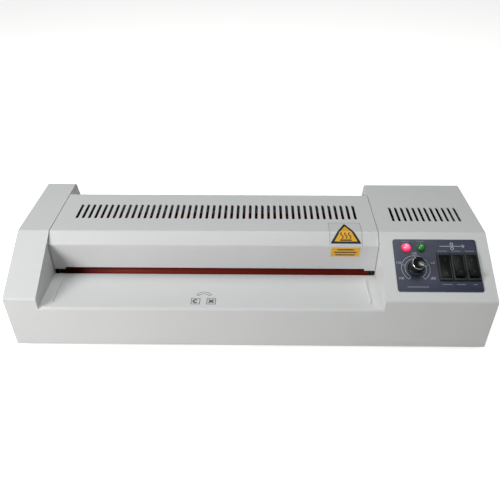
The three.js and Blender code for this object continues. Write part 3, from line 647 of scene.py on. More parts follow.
footRubber = grainMaterial(
    "foot rubber", base=(0.014, 0.014, 0.014), speckle=(0.05, 0.05, 0.05), scale=1500, roughness=0.78,
    speckleAmount=0.35, tone=0.25, bump=0.05, dust=0.2,
)
sleeveSilicone = grainMaterial(
    "red silicone", base=(0.25, 0.017, 0.008), speckle=(0.16, 0.012, 0.006), scale=700, roughness=0.6,
    speckleAmount=0.35, tone=0.3, bump=0.02, ior=1.3,
)
greyInk = grainMaterial(
    "pale grey ink", base=(0.42, 0.44, 0.5), speckle=(0.3, 0.32, 0.38), scale=2600, roughness=0.5,
    speckleAmount=0.4, tone=0.15, bump=0.004,
)
whiteInk = grainMaterial(
    "white ink", base=(0.78, 0.78, 0.78), speckle=(0.6, 0.6, 0.6), scale=2600, roughness=0.5,
    speckleAmount=0.3, bump=0.004,
)
blackInk = grainMaterial(
    "black ink", base=(0.012, 0.012, 0.012), speckle=(0.03, 0.03, 0.03), scale=2600, roughness=0.4,
    speckleAmount=0.3, bump=0.003,
)
yellowInk = grainMaterial(
    "yellow label ink", base=(0.83, 0.43, 0.02), speckle=(0.7, 0.34, 0.015), scale=1800, roughness=0.36,
    speckleAmount=0.3, bump=0.003, coat=0.2,
)
labelFilm = grainMaterial(
    "label film", base=(0.63, 0.632, 0.628), speckle=(0.56, 0.56, 0.555), scale=1500, roughness=0.42,
    speckleAmount=0.2, bump=0.004, coat=0.12,
)
zincPlate = metalMaterial("zinc plate", (0.3, 0.31, 0.32), (0.22, 0.23, 0.24), 0.4, stretch=(0.3, 1.0, 0.08))
groundSteel = metalMaterial(
    "ground steel", (0.5, 0.5, 0.51), (0.36, 0.36, 0.37), 0.26, stretch=(1.0, 0.05, 0.05),
)
millAluminium = metalMaterial("mill aluminium", (0.62, 0.63, 0.64), (0.5, 0.51, 0.52), 0.36)
polishedRim = metalMaterial(
    "polished rim", (0.62, 0.62, 0.63), (0.5, 0.5, 0.51), 0.16, stretch=(1.0, 1.0, 1.0),
)
screwSteel = metalMaterial("screw steel", (0.42, 0.42, 0.43), (0.3, 0.3, 0.31), 0.3, stretch=(1.0, 1.0, 1.0))
bushBronze = grainMaterial(
    "sintered bronze", base=(0.42, 0.24, 0.09), speckle=(0.2, 0.11, 0.05), scale=3000, roughness=0.42,
    speckleAmount=0.6, bump=0.01, metallic=1.0,
)
naturalNylon = grainMaterial(
    "natural nylon", base=(0.72, 0.69, 0.6), speckle=(0.6, 0.56, 0.46), scale=500, roughness=0.45,
    speckleAmount=0.2, tone=0.2, bump=0.01,
)
micaSheet = grainMaterial(
    "mica sheet", base=(0.42, 0.31, 0.17), speckle=(0.7, 0.6, 0.42), scale=420, roughness=0.5,
    speckleAmount=0.6, tone=0.4, bump=0.02, coat=0.2,
)
boardMask = grainMaterial(
    "green solder mask", base=(0.012, 0.085, 0.035), speckle=(0.03, 0.14, 0.06), scale=300, roughness=0.34,
    speckleAmount=0.5, tone=0.4, bump=0.01, coat=0.2,
)
wireSleeve = grainMaterial(
    "sleeved wire", base=(0.02, 0.02, 0.022), speckle=(0.08, 0.08, 0.08), scale=900, roughness=0.6,
    speckleAmount=0.5, tone=0.3, bump=0.05,
)
signInk = grainMaterial(
    "table sign ink", base=(0.07, 0.075, 0.08), speckle=(0.15, 0.15, 0.16), scale=2200, roughness=0.5,
    speckleAmount=0.5, tone=0.3, bump=0.004,
)
dimInk = grainMaterial(
    "dim print ink", base=(0.14, 0.15, 0.21), speckle=(0.1, 0.11, 0.16), scale=2600, roughness=0.5,
    speckleAmount=0.5, tone=0.2, bump=0.004,
)
faintInk = grainMaterial(
    "worn grey ink", base=(0.03, 0.03, 0.032), speckle=(0.05, 0.05, 0.05), scale=2600, roughness=0.5,
    speckleAmount=0.5, tone=0.2, bump=0.004,
)
rockerBlack = grainMaterial(
    "rocker black", base=(0.004, 0.0045, 0.0045), speckle=(0.01, 0.011, 0.011), scale=900, roughness=0.42,
    speckleAmount=0.4, tone=0.3, change=0.1, bump=0.006, ior=1.28,
)
tinPlate = metalMaterial("tinned terminal", (0.6, 0.6, 0.58), (0.48, 0.48, 0.47), 0.3)
varnishedCore = grainMaterial(
    "varnished laminations", base=(0.035, 0.03, 0.026), speckle=(0.09, 0.07, 0.05), scale=900, roughness=0.5,
    speckleAmount=0.4, tone=0.4, bump=0.05,
)
castGrey = grainMaterial(
    "die-cast grey", base=(0.12, 0.122, 0.125), speckle=(0.2, 0.2, 0.2), scale=800, roughness=0.5,
    speckleAmount=0.4, tone=0.3, bump=0.05,
)
print("materials made")


# Casing.
def endOutline(extra):
    # The end sections' side view, run down by extra past the underside.
    low = shellLow.z - extra
    return [
        (shellLow.y, low),
        (shellLow.y, frontFoldZ),
        (slopeTopY, shellHigh.z),
        (topBackY, shellHigh.z),
        (shellHigh.y + extra * rearLean, low),
    ]


shellFolds = {"front": 3 * mm, "slopeTop": 4 * mm, "topBack": 5 * mm, "table": 3 * mm}


def foldPlaces(outline, inward=0.0):
    radii = (shellFolds["front"], shellFolds["slopeTop"], shellFolds["topBack"])
    return [(y, z, r - inward) for (y, z), r in zip(outline[1:4], radii)]


def tableCutter():
    # What stands over the feed table and the chamber between the end sections, with the table's front fold.
    fold = shellFolds["table"]
    arc = []
    for i in range(9):
        a = math.pi - i / 8 * quarterTurn
        arc.append((shellLow.y + fold + fold * math.cos(a), tableZ - fold + fold * math.sin(a)))
    outline = [
        (shellLow.y - 20 * mm, tableZ - fold), *arc, (tableBackY, tableZ), (tableBackY, -20 * mm),
        (shellHigh.y + 30 * mm, -20 * mm), (shellHigh.y + 30 * mm, shellHigh.z + 20 * mm),
        (shellLow.y - 20 * mm, shellHigh.z + 20 * mm),
    ]
    return prismPart(outline, innerLeft, innerRight)


def chamberCutter():
    # The openings through the end sections' inner walls, under the cover and below the table.
    low = shellLow.z - 10 * mm
    under = tableZ - 8 * mm
    roof = shellHigh.z - 8.5 * mm
    front = shellLow.y + casing["sheet"]
    rear = shellHigh.y - 2 * mm
    coverFront, coverRear = coverLow.y + 2 * mm, coverHigh.y - 2 * mm
    outline = [
        (front, low), (front, under), (coverFront, under), (coverFront, roof), (coverRear, roof),
        (coverRear, under),
        (rear - (under - shellLow.z) * rearLean, under), (rear - (low - shellLow.z) * rearLean, low),
    ]
    return prismPart(outline, innerLeft - 3 * mm, innerRight + 3 * mm)


def slotCutters(centres, width, yLow, yHigh):
    # Round-ended slots through a flat top.
    bm = bmesh.new()
    for x in centres:
        slot = boxPart((x - width / 2, yLow, shellHigh.z - 6 * mm), (
            x + width / 2, yHigh, shellHigh.z + 4 * mm,
        ),
                       corner=width / 2 * 0.998, steps=6)
        addPart(bm, slot)
    return bm


vents = {
    "cover": {"first": -195.8 * mm, "pitch": 6.95 * mm, "count": 46, "front": 97.5 * mm, "back": 128.2 * mm},
    "box": {"first": 158.6 * mm, "pitch": 6.7 * mm, "count": 12, "front": 94 * mm, "back": 124 * mm},
    "width": 3.2 * mm,
}


def ventCutters(where):
    values = vents[where]
    centres = [values["first"] + i * values["pitch"] for i in range(values["count"])]
    return slotCutters(centres, vents["width"], shellLow.y + values["front"], shellLow.y + values["back"])


holes = {
    "lamp": 4.6 * mm,
    "shaft": 4.2 * mm,
    "switchInset": (0.8 * mm, 1.6 * mm, 0),
    "inlet": (10.2 * mm, 14 * mm, 5 * mm),
    "fuse": 6.5 * mm,
}


def slopeHoles(reach, corner=0):
    # Holes for the lamps, the potentiometer and the switch housing, on the slope's own flat.
    bm = bmesh.new()
    for node, radius in (("red_lamp", "lamp"), ("green_lamp", "lamp"), ("temperature_knob", "shaft")):
        addPart(bm, rodPart(holes[radius], -reach, reach), Matrix.Translation(middleOn(slopePlace, node)))
    low, high = localBox("switch_housing", slopePlace)
    inset = Vector(holes["switchInset"])
    low.z, high.z = -reach, reach
    return addPart(bm, boxPart(low + inset, high - inset, corner))


def rearHoles():
    half = Vector(holes["inlet"])
    bm = placePart(boxPart(-half, half, 1 * mm), Matrix.Translation(middleOn(rearPlace, "mains_inlet")))
    hole = rodPart(holes["fuse"], -half.z, half.z)
    return addPart(bm, hole, Matrix.Translation(middleOn(rearPlace, "fuse_holder")))


def buildOuterShell():
    sheet = casing["sheet"]
    extra = 6 * mm
    outline = endOutline(extra)
    solid = prismPart(outline, shellLow.x, shellHigh.x)
    roundFolds(solid, foldPlaces(outline))
    shell = newPiece(solid, "outerShell", "case", casingPaint, ["outer_shell"])
    carve(shell, tableCutter())
    bm = bmesh.new()
    bm.from_mesh(shell.data)
    bevelEdges(bm, sharpEdges(bm, 40, convex=True), casing["edgeRadius"], 4)
    bm.to_mesh(shell.data)
    bm.free()
    hollowLine = [(p.x, p.y) for p in offsetLine(outline, sheet)]
    hollows = []
    for low, high in ((shellLow.x, innerLeft), (innerRight, shellHigh.x)):
        hollow = prismPart(hollowLine, low + sheet, high - sheet)
        roundFolds(hollow, foldPlaces(hollowLine, sheet))
        hollows.append(hollow)
    corner = (innerLeft - 0.5 * mm, shellLow.y + sheet, -0.03)
    underTable = boxPart(corner, (innerRight + 0.5 * mm, tableBackY - sheet, tableZ - sheet))
    belowFlange = boxPart(corner, (innerRight + 0.5 * mm, tableBackY + 7 * mm, tableZ - 6 * mm))
    underside = boxPart((-1, -1, -1), (1, 1, shellLow.z))
    carve(shell, *hollows, underTable, belowFlange, chamberCutter(), underside)
    front = placePart(slopeHoles(5 * mm, 0.6 * mm), slopePlace)
    carve(shell, ventCutters("box"), front, placePart(rearHoles(), rearPlace))
    softenEdges(shell, 0.12 * mm)


def foldedSheet(name, line, xLow, xHigh, material, replaced):
    # A sheet folded along a line of [y, z, radius] points, its thickness to the line's right.
    bm = bmesh.new()
    verts = [bm.verts.new((xLow, p[0], p[1])) for p in line]
    edges = [bm.edges.new(pair) for pair in zip(verts, verts[1:])]
    made = bmesh.ops.extrude_edge_only(bm, edges=edges)["geom"]
    bmesh.ops.translate(
        bm, vec=(xHigh - xLow, 0, 0), verts=[g for g in made if isinstance(g, bmesh.types.BMVert)],
    )
    roundFolds(bm, [p for p in line if len(p) > 2])
    bmesh.ops.recalc_face_normals(bm, faces=bm.faces)
    # All faces must look to the line's left, so that the thickness goes to its right.
    first = min(bm.faces, key=lambda f: (f.calc_center_median().yz - Vector(line[0][:2])).length)
    along = Vector(line[1][:2]) - Vector(line[0][:2])
    if first.normal.yz.dot(Vector((-along.y, along.x))) < 0:
        bmesh.ops.reverse_faces(bm, faces=bm.faces)
    piece = newPiece(bm, name, "case", material, replaced)
    modifier = piece.modifiers.new("sheet", "SOLIDIFY")
    modifier.thickness = casing["sheet"]
    modifier.offset = -1
    modifier.use_even_offset = True
    settle(piece)
    return piece


lip = {
    "foldDrop": 10.3 * mm, "rearDepth": 12.1 * mm, "slotTop": 8 * mm, "endWidth": 11.7 * mm,
    "slotCorner": 1.6 * mm,
}
slotLeft = coverLow.x + lip["endWidth"]
slotRight = coverHigh.x - lip["endWidth"]
lipFoldZ = coverHigh.z - lip["foldDrop"]
coverBackY = coverHigh.y - lip["rearDepth"]
coverLine = [
    (coverLow.y, coverLow.z),
    (coverLow.y, lipFoldZ, 2.5 * mm),
    (slopeTopY, coverHigh.z, 3.5 * mm),
    (coverBackY, coverHigh.z, 3.5 * mm),
    (coverHigh.y, lipFoldZ, 2.5 * mm),
    (coverHigh.y, coverLow.z),
]


def buildTopCover():
    cover = foldedSheet(
        "topCover", coverLine, coverLow.x, coverHigh.x, casingPaint, ["top_cover"],
    )
    high = tableZ + lip["slotTop"]
    mouth = boxPart(
        (slotLeft, coverLow.y - 5 * mm, coverLow.z - 5 * mm), (slotRight, coverHigh.y + 5 * mm, high),
    )
    corners = [e for e in mouth.edges if all(abs(v.co.z - high) < 1e-6 for v in e.verts)]
    corners = [e for e in corners if abs(e.verts[0].co.x - e.verts[1].co.x) < 1e-6]
    bevelEdges(mouth, corners, lip["slotCorner"], 5)
    carve(cover, mouth, ventCutters("cover"))
    softenEdges(cover, 0.12 * mm)


def buildRearPanel():
    shelfBack = shellHigh.y - (tableZ - shellLow.z) * rearLean
    line = [
        (rearLow.y, tableZ - 5 * mm),
        (rearLow.y, tableZ, 2 * mm),
        (shelfBack, tableZ, 3 * mm),
        (shellHigh.y, shellLow.z),
    ]
    panel = foldedSheet("rearPanel", line, rearLow.x, rearHigh.x, casingPaint, ["rear_panel"])
    softenEdges(panel, 0.15 * mm)


# Feed table: guide ribs and pictograms.
feedTable = {
    "ribHeight": 1.25 * mm,
    "ribWidth": 1.8 * mm,
    "ribFront": 11 * mm,
    "ribBack": 50.5 * mm,
    "signX": -48.6 * mm,
    "signFront": 8 * mm,
    "tile": 9.6 * mm,
    "tileGap": 6.8 * mm,
    "tileLine": 0.7 * mm,
    "ring": (1.3 * mm, 3.2 * mm),
    "crossReach": 2.5 * mm,
    "crossLine": 1.9 * mm,
    "arches": (9.2 * mm, 6.4 * mm),
    "ink": 0.05 * mm,
}


def buildGuideRibs():
    # Pressed ribs that keep the sheet's edges straight, the highest part of the feed table.
    bm = bmesh.new()
    half = feedTable["ribWidth"] / 2
    front, back = shellLow.y + feedTable["ribFront"], shellLow.y + feedTable["ribBack"]
    top = tableZ + feedTable["ribHeight"]
    for x in (slotLeft - 0.4 * mm, slotRight - 0.2 * mm):
        rib = boxPart((x - half, front, tableZ - 0.5 * mm), (x + half, back, top), corner=0.85 * mm, steps=5)
        bevelRim(rib, top, 0.45 * mm, 4)
        addPart(bm, rib)
    newPiece(bm, "guideRibs", "case", casingPaint)


def ringPart(inner, outer, height, steps=48):
    return turnedPart([(inner, 0), (outer, 0), (outer, height), (inner, height), (inner, 0)], steps)


def arcPart(inner, outer, height, start, turn, steps=40):
    # Part of a flat ring, from an angle in degrees counted anticlockwise from X.
    bm = bmesh.new()
    verts = [bm.verts.new(p) for p in ((inner, 0, 0), (outer, 0, 0), (outer, 0, height), (inner, 0, height))]
    face = bm.faces.new(verts)
    bmesh.ops.rotate(bm, cent=(0, 0, 0), matrix=Matrix.Rotation(math.radians(start), 3, "Z"), verts=bm.verts)
    bmesh.ops.spin(
        bm, geom=[face], cent=(0, 0, 0), axis=(0, 0, 1), dvec=(0, 0, 0), angle=math.radians(turn),
        steps=steps,
        use_merge=False, use_duplicate=False,
    )
    bmesh.ops.recalc_face_normals(bm, faces=bm.faces)
    return bm


def barPart(x0, x1, y0, y1, height):
    return boxPart((min(x0, x1), min(y0, y1), 0), (max(x0, x1), max(y0, y1), height))


def linePart(a, b, width, height):
    # A straight stroke between two flat points.
    a, b = Vector((*a, 0)), Vector((*b, 0))
    along = b - a
    bm = boxPart((0, -width / 2, 0), (along.length, width / 2, height))
    turn = Matrix.Rotation(math.atan2(along.y, along.x), 4, "Z")
    placePart(bm, Matrix.Translation(a) @ turn)
    return bm


def buildTableSigns():
    # Two outlined tiles, a ring and a cross, with an arched sheet above them: printed in grey on the table.
    ink, tile = feedTable["ink"], feedTable["tile"]
    half, line = tile / 2, feedTable["tileLine"]
    bm = bmesh.new()
    for side in (-1, 1):
        middle = Vector((side * (tile + feedTable["tileGap"]) / 2, half, 0))
        place = Matrix.Translation(middle)
        for x0, y0, x1, y1 in ((-half, -half, half, line - half), (-half, half - line, half, half),
                               (-half, -half, line - half, half), (half - line, -half, half, half)):
            addPart(bm, barPart(x0, x1, y0, y1, ink), place)
        if side < 0:
            addPart(bm, arcPart(*feedTable["ring"], ink, 50, 260), place)
            continue
        reach = feedTable["crossReach"]
        for way in (1, -1):
            addPart(
                bm, linePart((-reach, -way * reach), (reach, way * reach), feedTable["crossLine"], ink),
                place,
            )
    for radius in feedTable["arches"]:
        arch = arcPart(radius - 0.6 * mm, radius, ink, 28, 124)
        addPart(bm, arch, Matrix.Translation((0, tile + 1.2 * mm, 0)))
    for side in (-1, 1):
        start, end = (side * 5.6 * mm, tile + 4.2 * mm), (side * 8.2 * mm, tile + 5.6 * mm)
        addPart(bm, linePart(start, end, 0.6 * mm, ink))
    place = Matrix.Translation((feedTable["signX"], shellLow.y + feedTable["signFront"], tableZ + 0.01 * mm))
    newPiece(placePart(bm, place), "tableSigns", "case", signInk)


# Caution label on the top cover, bent over its two folds.
label = {
    "left": 86 * mm,
    "width": 33 * mm,
    "topReach": 16.5 * mm,  # how far it runs back from the upper fold
    "film": 0.12 * mm,
    "triangleSide": 33.5 * mm,
    "lowerBand": 13.5 * mm,
    "margin": 1 * mm,  # how far the film stands past the lower band on each side
    "rim": 0.3 * mm,
    "bars": ((-9, 9), (-12, 12), (-10.5, 10.5)),  # mm from the middle
    "barPitch": 3.3 * mm,
    "wavePitch": 4.2 * mm,
}


def coverPath(distance):
    # A point on the cover's outside and its outward direction, at a distance forward of the upper fold,
    # over the second face and down the lip. The folds are arcs.
    corners = [Vector(coverLine[i][:2]) for i in (3, 2, 1, 0)]
    radii = [coverLine[2][2], coverLine[1][2]]
    ways = [(b - a).normalized() for a, b in zip(corners, corners[1:])]
    turns = [ways[i].angle(ways[i + 1]) for i in range(2)]
    reach = [r * math.tan(t / 2) for r, t in zip(radii, turns)]
    flat = (corners[2] - corners[1]).length - reach[0] - reach[1]
    at = corners[1] - ways[0] * reach[0]
    left = distance
    if left <= 0:
        point, way = at + ways[0] * left, ways[0]
        return point, Vector((way.y, -way.x))
    for i, straight in ((0, flat), (1, 1.0)):
        arc = radii[i] * turns[i]
        normal = Vector((ways[i].y, -ways[i].x))
        centre = at - normal * radii[i]
        if left < arc:
            turned = Matrix.Rotation(left / radii[i], 2) @ normal
            return centre + turned * radii[i], turned
        turned = Matrix.Rotation(turns[i], 2) @ normal
        at = centre + turned * radii[i]
        left -= arc
        if left < straight:
            return at + ways[i + 1] * left, turned
        at = at + ways[i + 1] * straight
        left -= straight
    return at, turned


def bendOverCover(bm):
    # Lays a flat sticker on the cover: x stays, y counts back from the upper fold, z is its thickness.
    for v in bm.verts:
        point, normal = coverPath(-v.co.y)
        lifted = point + normal * (v.co.z + 0.02 * mm)
        v.co = Vector((v.co.x, lifted.x, lifted.y))
    bmesh.ops.recalc_face_normals(bm, faces=bm.faces)


def sliceAcross(bm, step=0.6 * mm):
    # Cuts a flat shape into narrow strips, so that it can follow a fold.
    low = min(v.co.y for v in bm.verts)
    high = max(v.co.y for v in bm.verts)
    y = low + step
    while y < high:
        bmesh.ops.bisect_plane(
            bm, geom=bm.verts[:] + bm.edges[:] + bm.faces[:], dist=1e-7, plane_co=(0, y, 0),
            plane_no=(0, 1, 0),
        )
        y += step


def trianglePart(side, corner, height):
    # An upright triangle centred on its middle, with rounded corners.
    tall = side * math.sqrt(3) / 2
    bm = prismPart([(-side / 2, -tall / 3), (side / 2, -tall / 3), (0, tall * 2 / 3)], 0, height, "Z")
    bevelEdges(bm, uprightEdges(bm), corner, 5)
    return bm


def stickerPiece(parts, name, material):
    bm = bmesh.new()
    for part in parts:
        addPart(bm, part)
    sliceAcross(bm)
    bendOverCover(bm)
    return newPiece(bm, name, "case", material, sharp=50)


def buildLabel():
    film = label["film"]
    middle = label["left"] + label["width"] / 2
    half = label["width"] / 2
    slant = (Vector(coverLine[2][:2]) - Vector(coverLine[1][:2])).length
    back, front = label["topReach"], -slant - 0.4 * mm
    centre = Matrix.Translation((middle, (back + front) / 2 - 4.8 * mm, 0))

    def raised(bm, lift, place=centre):
        return placePart(bm, place @ Matrix.Translation((0, 0, lift)))

    left, right = middle - half - label["margin"], middle + half + label["margin"]
    stickerPiece([boxPart((left, front, 0), (right, back, film), corner=1.2 * mm)], "labelGround", labelFilm)
    rim = label["rim"]
    sides = ((left, left + rim, front, back), (right - rim, right, front, back),
             (left + rim, right - rim, back - rim, back))
    edges = [boxPart((x0, y0, film), (x1, y1, film * 1.3)) for x0, x1, y0, y1 in sides]
    stickerPiece(edges, "labelRim", signInk)
    side = label["triangleSide"]
    stickerPiece([raised(trianglePart(side, 1.6 * mm, film * 0.5), film)], "labelTriangle", blackInk)
    stickerPiece(
        [raised(trianglePart(side * 0.74, 1.0 * mm, film * 0.5), film * 1.5)], "labelTriangleFace", yellowInk,
    )
    waves = []
    for i in (-1, 0, 1):
        for start, across, up in ((-80, -0.6, -2.2), (100, 0.6, 1.2)):
            place = centre @ Matrix.Translation((i * label["wavePitch"] + across * mm, up * mm, 0))
            waves.append(raised(arcPart(1.3 * mm, 2.3 * mm, film * 0.4, start, 160, 14), film * 2, place))
    waves.append(raised(barPart(-6.2 * mm, 6.2 * mm, -6.4 * mm, -5.0 * mm, film * 0.4), film * 2))
    stickerPiece(waves, "labelFigure", blackInk)
    top = front - 1.6 * mm
    low, high = Vector((middle - half, top - label["lowerBand"], 0)), Vector((middle + half, top, film))
    stickerPiece([boxPart(low, high, corner=1.0 * mm)], "labelBandEdge", labelFilm)
    inset = Vector((1.1 * mm, 1.1 * mm, 0))
    low.z, high.z = film, film * 1.5
    stickerPiece([boxPart(low + inset, high - inset, corner=0.6 * mm)], "labelBand", yellowInk)
    bars = []
    for row, (start, end) in enumerate(label["bars"]):
        y = top - 3.0 * mm - row * label["barPitch"]
        bars.append(
            boxPart((middle + start * mm, y - 1.3 * mm, film * 1.5), (middle + end * mm, y, film * 1.9))
        )
    stickerPiece(bars, "labelBars", blackInk)


# Control panel.
panelLow, panelHigh = localBox("control_panel", slopePlace)
knobLow, knobHigh = localBox("temperature_knob", slopePlace)
housingLow, housingHigh = localBox("switch_housing", slopePlace)
knobAt = slopePlace.inverted() @ jointPlace("temperature_knob_turn")
knobAt.z = panelHigh.z
switchPitch = (housingHigh.x - housingLow.x) / 3

panel = {
    "corner": 2.6 * mm,
    "ink": 0.05 * mm,
    "scaleOuter": 15.0 * mm,
    "scaleInner": 11.4 * mm,
    "scaleLine": 0.45 * mm,
    "firstMark": 236,  # degrees, anticlockwise from across
    "lastMark": -56,
    "marks": (100, 120, 140, 160, 180),
    # mm from the knob
    "numberPlaces": ((-16.1, -11.4), (-17.2, 6.4), (0.2, 17.3), (17.6, 6.4), (16.4, -11.4)),
    "numberSize": 3.9 * mm,
    "signPlace": (18 * mm, 8.6 * mm),
    "switchMarks": (5.2 * mm, 4.6 * mm, 2.0 * mm),  # half widths of the marks under the switches
}


def buildPanelPlate():
    plate = boxPart(panelLow, panelHigh, corner=panel["corner"], steps=8)
    bevelRim(plate, panelHigh.z, 0.25 * mm, 3)
    piece = newPiece(plate, "panelPlate", "case", panelOverlay, ["control_panel"])
    carve(piece, slopeHoles(10 * mm))
    piece.data.transform(slopePlace)
    piece.data.update()


def numberPart(text, size, height):
    # Digits as a thin solid, centred on the origin.
    curve = bpy.data.curves.new("digits", "FONT")
    curve.body = text
    curve.size = size
    curve.align_x = "CENTER"
    curve.align_y = "CENTER"
    curve.extrude = height / 2
    curve.resolution_u = 3
    holder = addObject("digits", curve)
    bpy.context.view_layer.update()
    mesh = bpy.data.meshes.new_from_object(holder.evaluated_get(bpy.context.evaluated_depsgraph_get()))
    bm = bmesh.new()
    bm.from_mesh(mesh)
    bmesh.ops.remove_doubles(bm, verts=bm.verts, dist=1e-7)
    bmesh.ops.translate(bm, vec=(0, 0, height / 2), verts=bm.verts)
    bpy.data.objects.remove(holder)
    bpy.data.curves.remove(curve)
    bpy.data.meshes.remove(mesh)
    return bm


def buildPanelPrint():
    # Scale, numbers and a sign printed on the panel.
    ink = panel["ink"]
    bm = bmesh.new()
    turn = panel["lastMark"] - panel["firstMark"]
    for radius in (panel["scaleOuter"], panel["scaleInner"]):
        arc = arcPart(radius - panel["scaleLine"], radius, ink, panel["firstMark"], turn, 60)
        addPart(bm, arc, Matrix.Translation(knobAt))
    count = len(panel["marks"])
    for i, value in enumerate(panel["marks"]):
        a = math.radians(panel["firstMark"] + turn * i / (count - 1))
        way = Vector((math.cos(a), math.sin(a), 0))
        stroke = linePart(
            (way * panel["scaleInner"]).xy, (way * panel["scaleOuter"]).xy, panel["scaleLine"], ink,
        )
        addPart(bm, stroke, Matrix.Translation(knobAt))
        number = numberPart(str(value), panel["numberSize"], ink)
        across, up = panel["numberPlaces"][i]
        addPart(bm, number, Matrix.Translation(knobAt + Vector((across, up, 0)) * mm))
    # a plain sign for a sheet between two rollers
    across, up = panel["signPlace"]
    place = Matrix.Translation((housingLow.x + across, housingHigh.y + up, panelHigh.z))
    addPart(bm, barPart(-13 * mm, 13 * mm, -0.35 * mm, 0.35 * mm, ink), place)
    for way in (-1, 1):
        addPart(bm, ringPart(1.1 * mm, 1.9 * mm, ink, 28), place @ Matrix.Translation((0, way * 2.5 * mm, 0)))
        addPart(bm, linePart((10.8 * mm, way * 1.8 * mm), (13.2 * mm, 0), 0.7 * mm, ink), place)
    newPiece(placePart(bm, slopePlace), "panelPrint", "case", greyInk)


def buildPanelMarks():
    # Short dim marks over the lamps, under the dial, and over and under the switches.
    bars = []  # middle, foot, half width and height
    for node in ("red_lamp", "green_lamp"):
        low, high = localBox(node, slopePlace)
        bars.append(((low.x + high.x) / 2, high.y + 2.2 * mm, 3.8 * mm, 1.0 * mm))
    bars.append((knobAt.x, panelLow.y + 4.2 * mm, 11 * mm, 1.6 * mm))
    for i, lowerHalf in enumerate(panel["switchMarks"]):
        x = housingLow.x + switchPitch * (i + 0.5)
        bars.append((x, housingHigh.y + 2.2 * mm, 4.9 * mm, 1.3 * mm))
        bars.append((x, housingLow.y - 4.6 * mm, lowerHalf, 1.3 * mm))
    bm = bmesh.new()
    lift = Matrix.Translation((0, 0, panelHigh.z))
    for x, y, half, tall in bars:
        addPart(bm, barPart(x - half, x + half, y, y + tall, panel["ink"]), lift)
    newPiece(placePart(bm, slopePlace), "panelMarks", "case", dimInk)


lamp = {"steps": 40, "rim": 0.5 * mm, "body": 3.6 * mm, "neck": 4.3 * mm, "glow": 4.6 * mm}


def buildLamp(node, material):
    # A domed lens with a thin collar, and its body behind the panel.
    low, high = localBox(node, slopePlace)
    radius = (high.x - low.x) / 2
    collar = panelHigh.z + 0.3 * mm
    dome = high.z - collar - 1.0 * mm
    body, neck = lamp["body"], lamp["neck"]
    points = [
        (0, low.z), (body, low.z), (body, -3 * mm), (neck, -3 * mm), (neck, collar), (radius, collar),
        (radius, collar + 0.7 * mm), (radius - 0.25 * mm, collar + 1.0 * mm),
    ]
    for i in range(9):
        a = i / 8 * quarterTurn
        points.append(((radius - lamp["rim"]) * math.cos(a), collar + 1.0 * mm + dome * math.sin(a)))
    points[-1] = (0, points[-1][1])
    bm = turnedPart(points, lamp["steps"])
    placePart(bm, slopePlace @ Matrix.Translation(middleOn(slopePlace, node)))
    newPiece(bm, camelName(node), "case", material, [node], sharp=40)


def lampAxis(node):
    # A point on the lamp's axis and the axis's direction.
    point = slopePlace @ middleOn(slopePlace, node)
    return tuple(point), tuple(slopePlace.col[2].xyz)


knob = {
    "skirt": 8.6 * mm, "skirtHeight": 1.7 * mm, "waist": 7.7 * mm, "top": 7.2 * mm, "flutes": 20,
    "fluteDepth": 0.35 * mm, "pointer": -124,
}


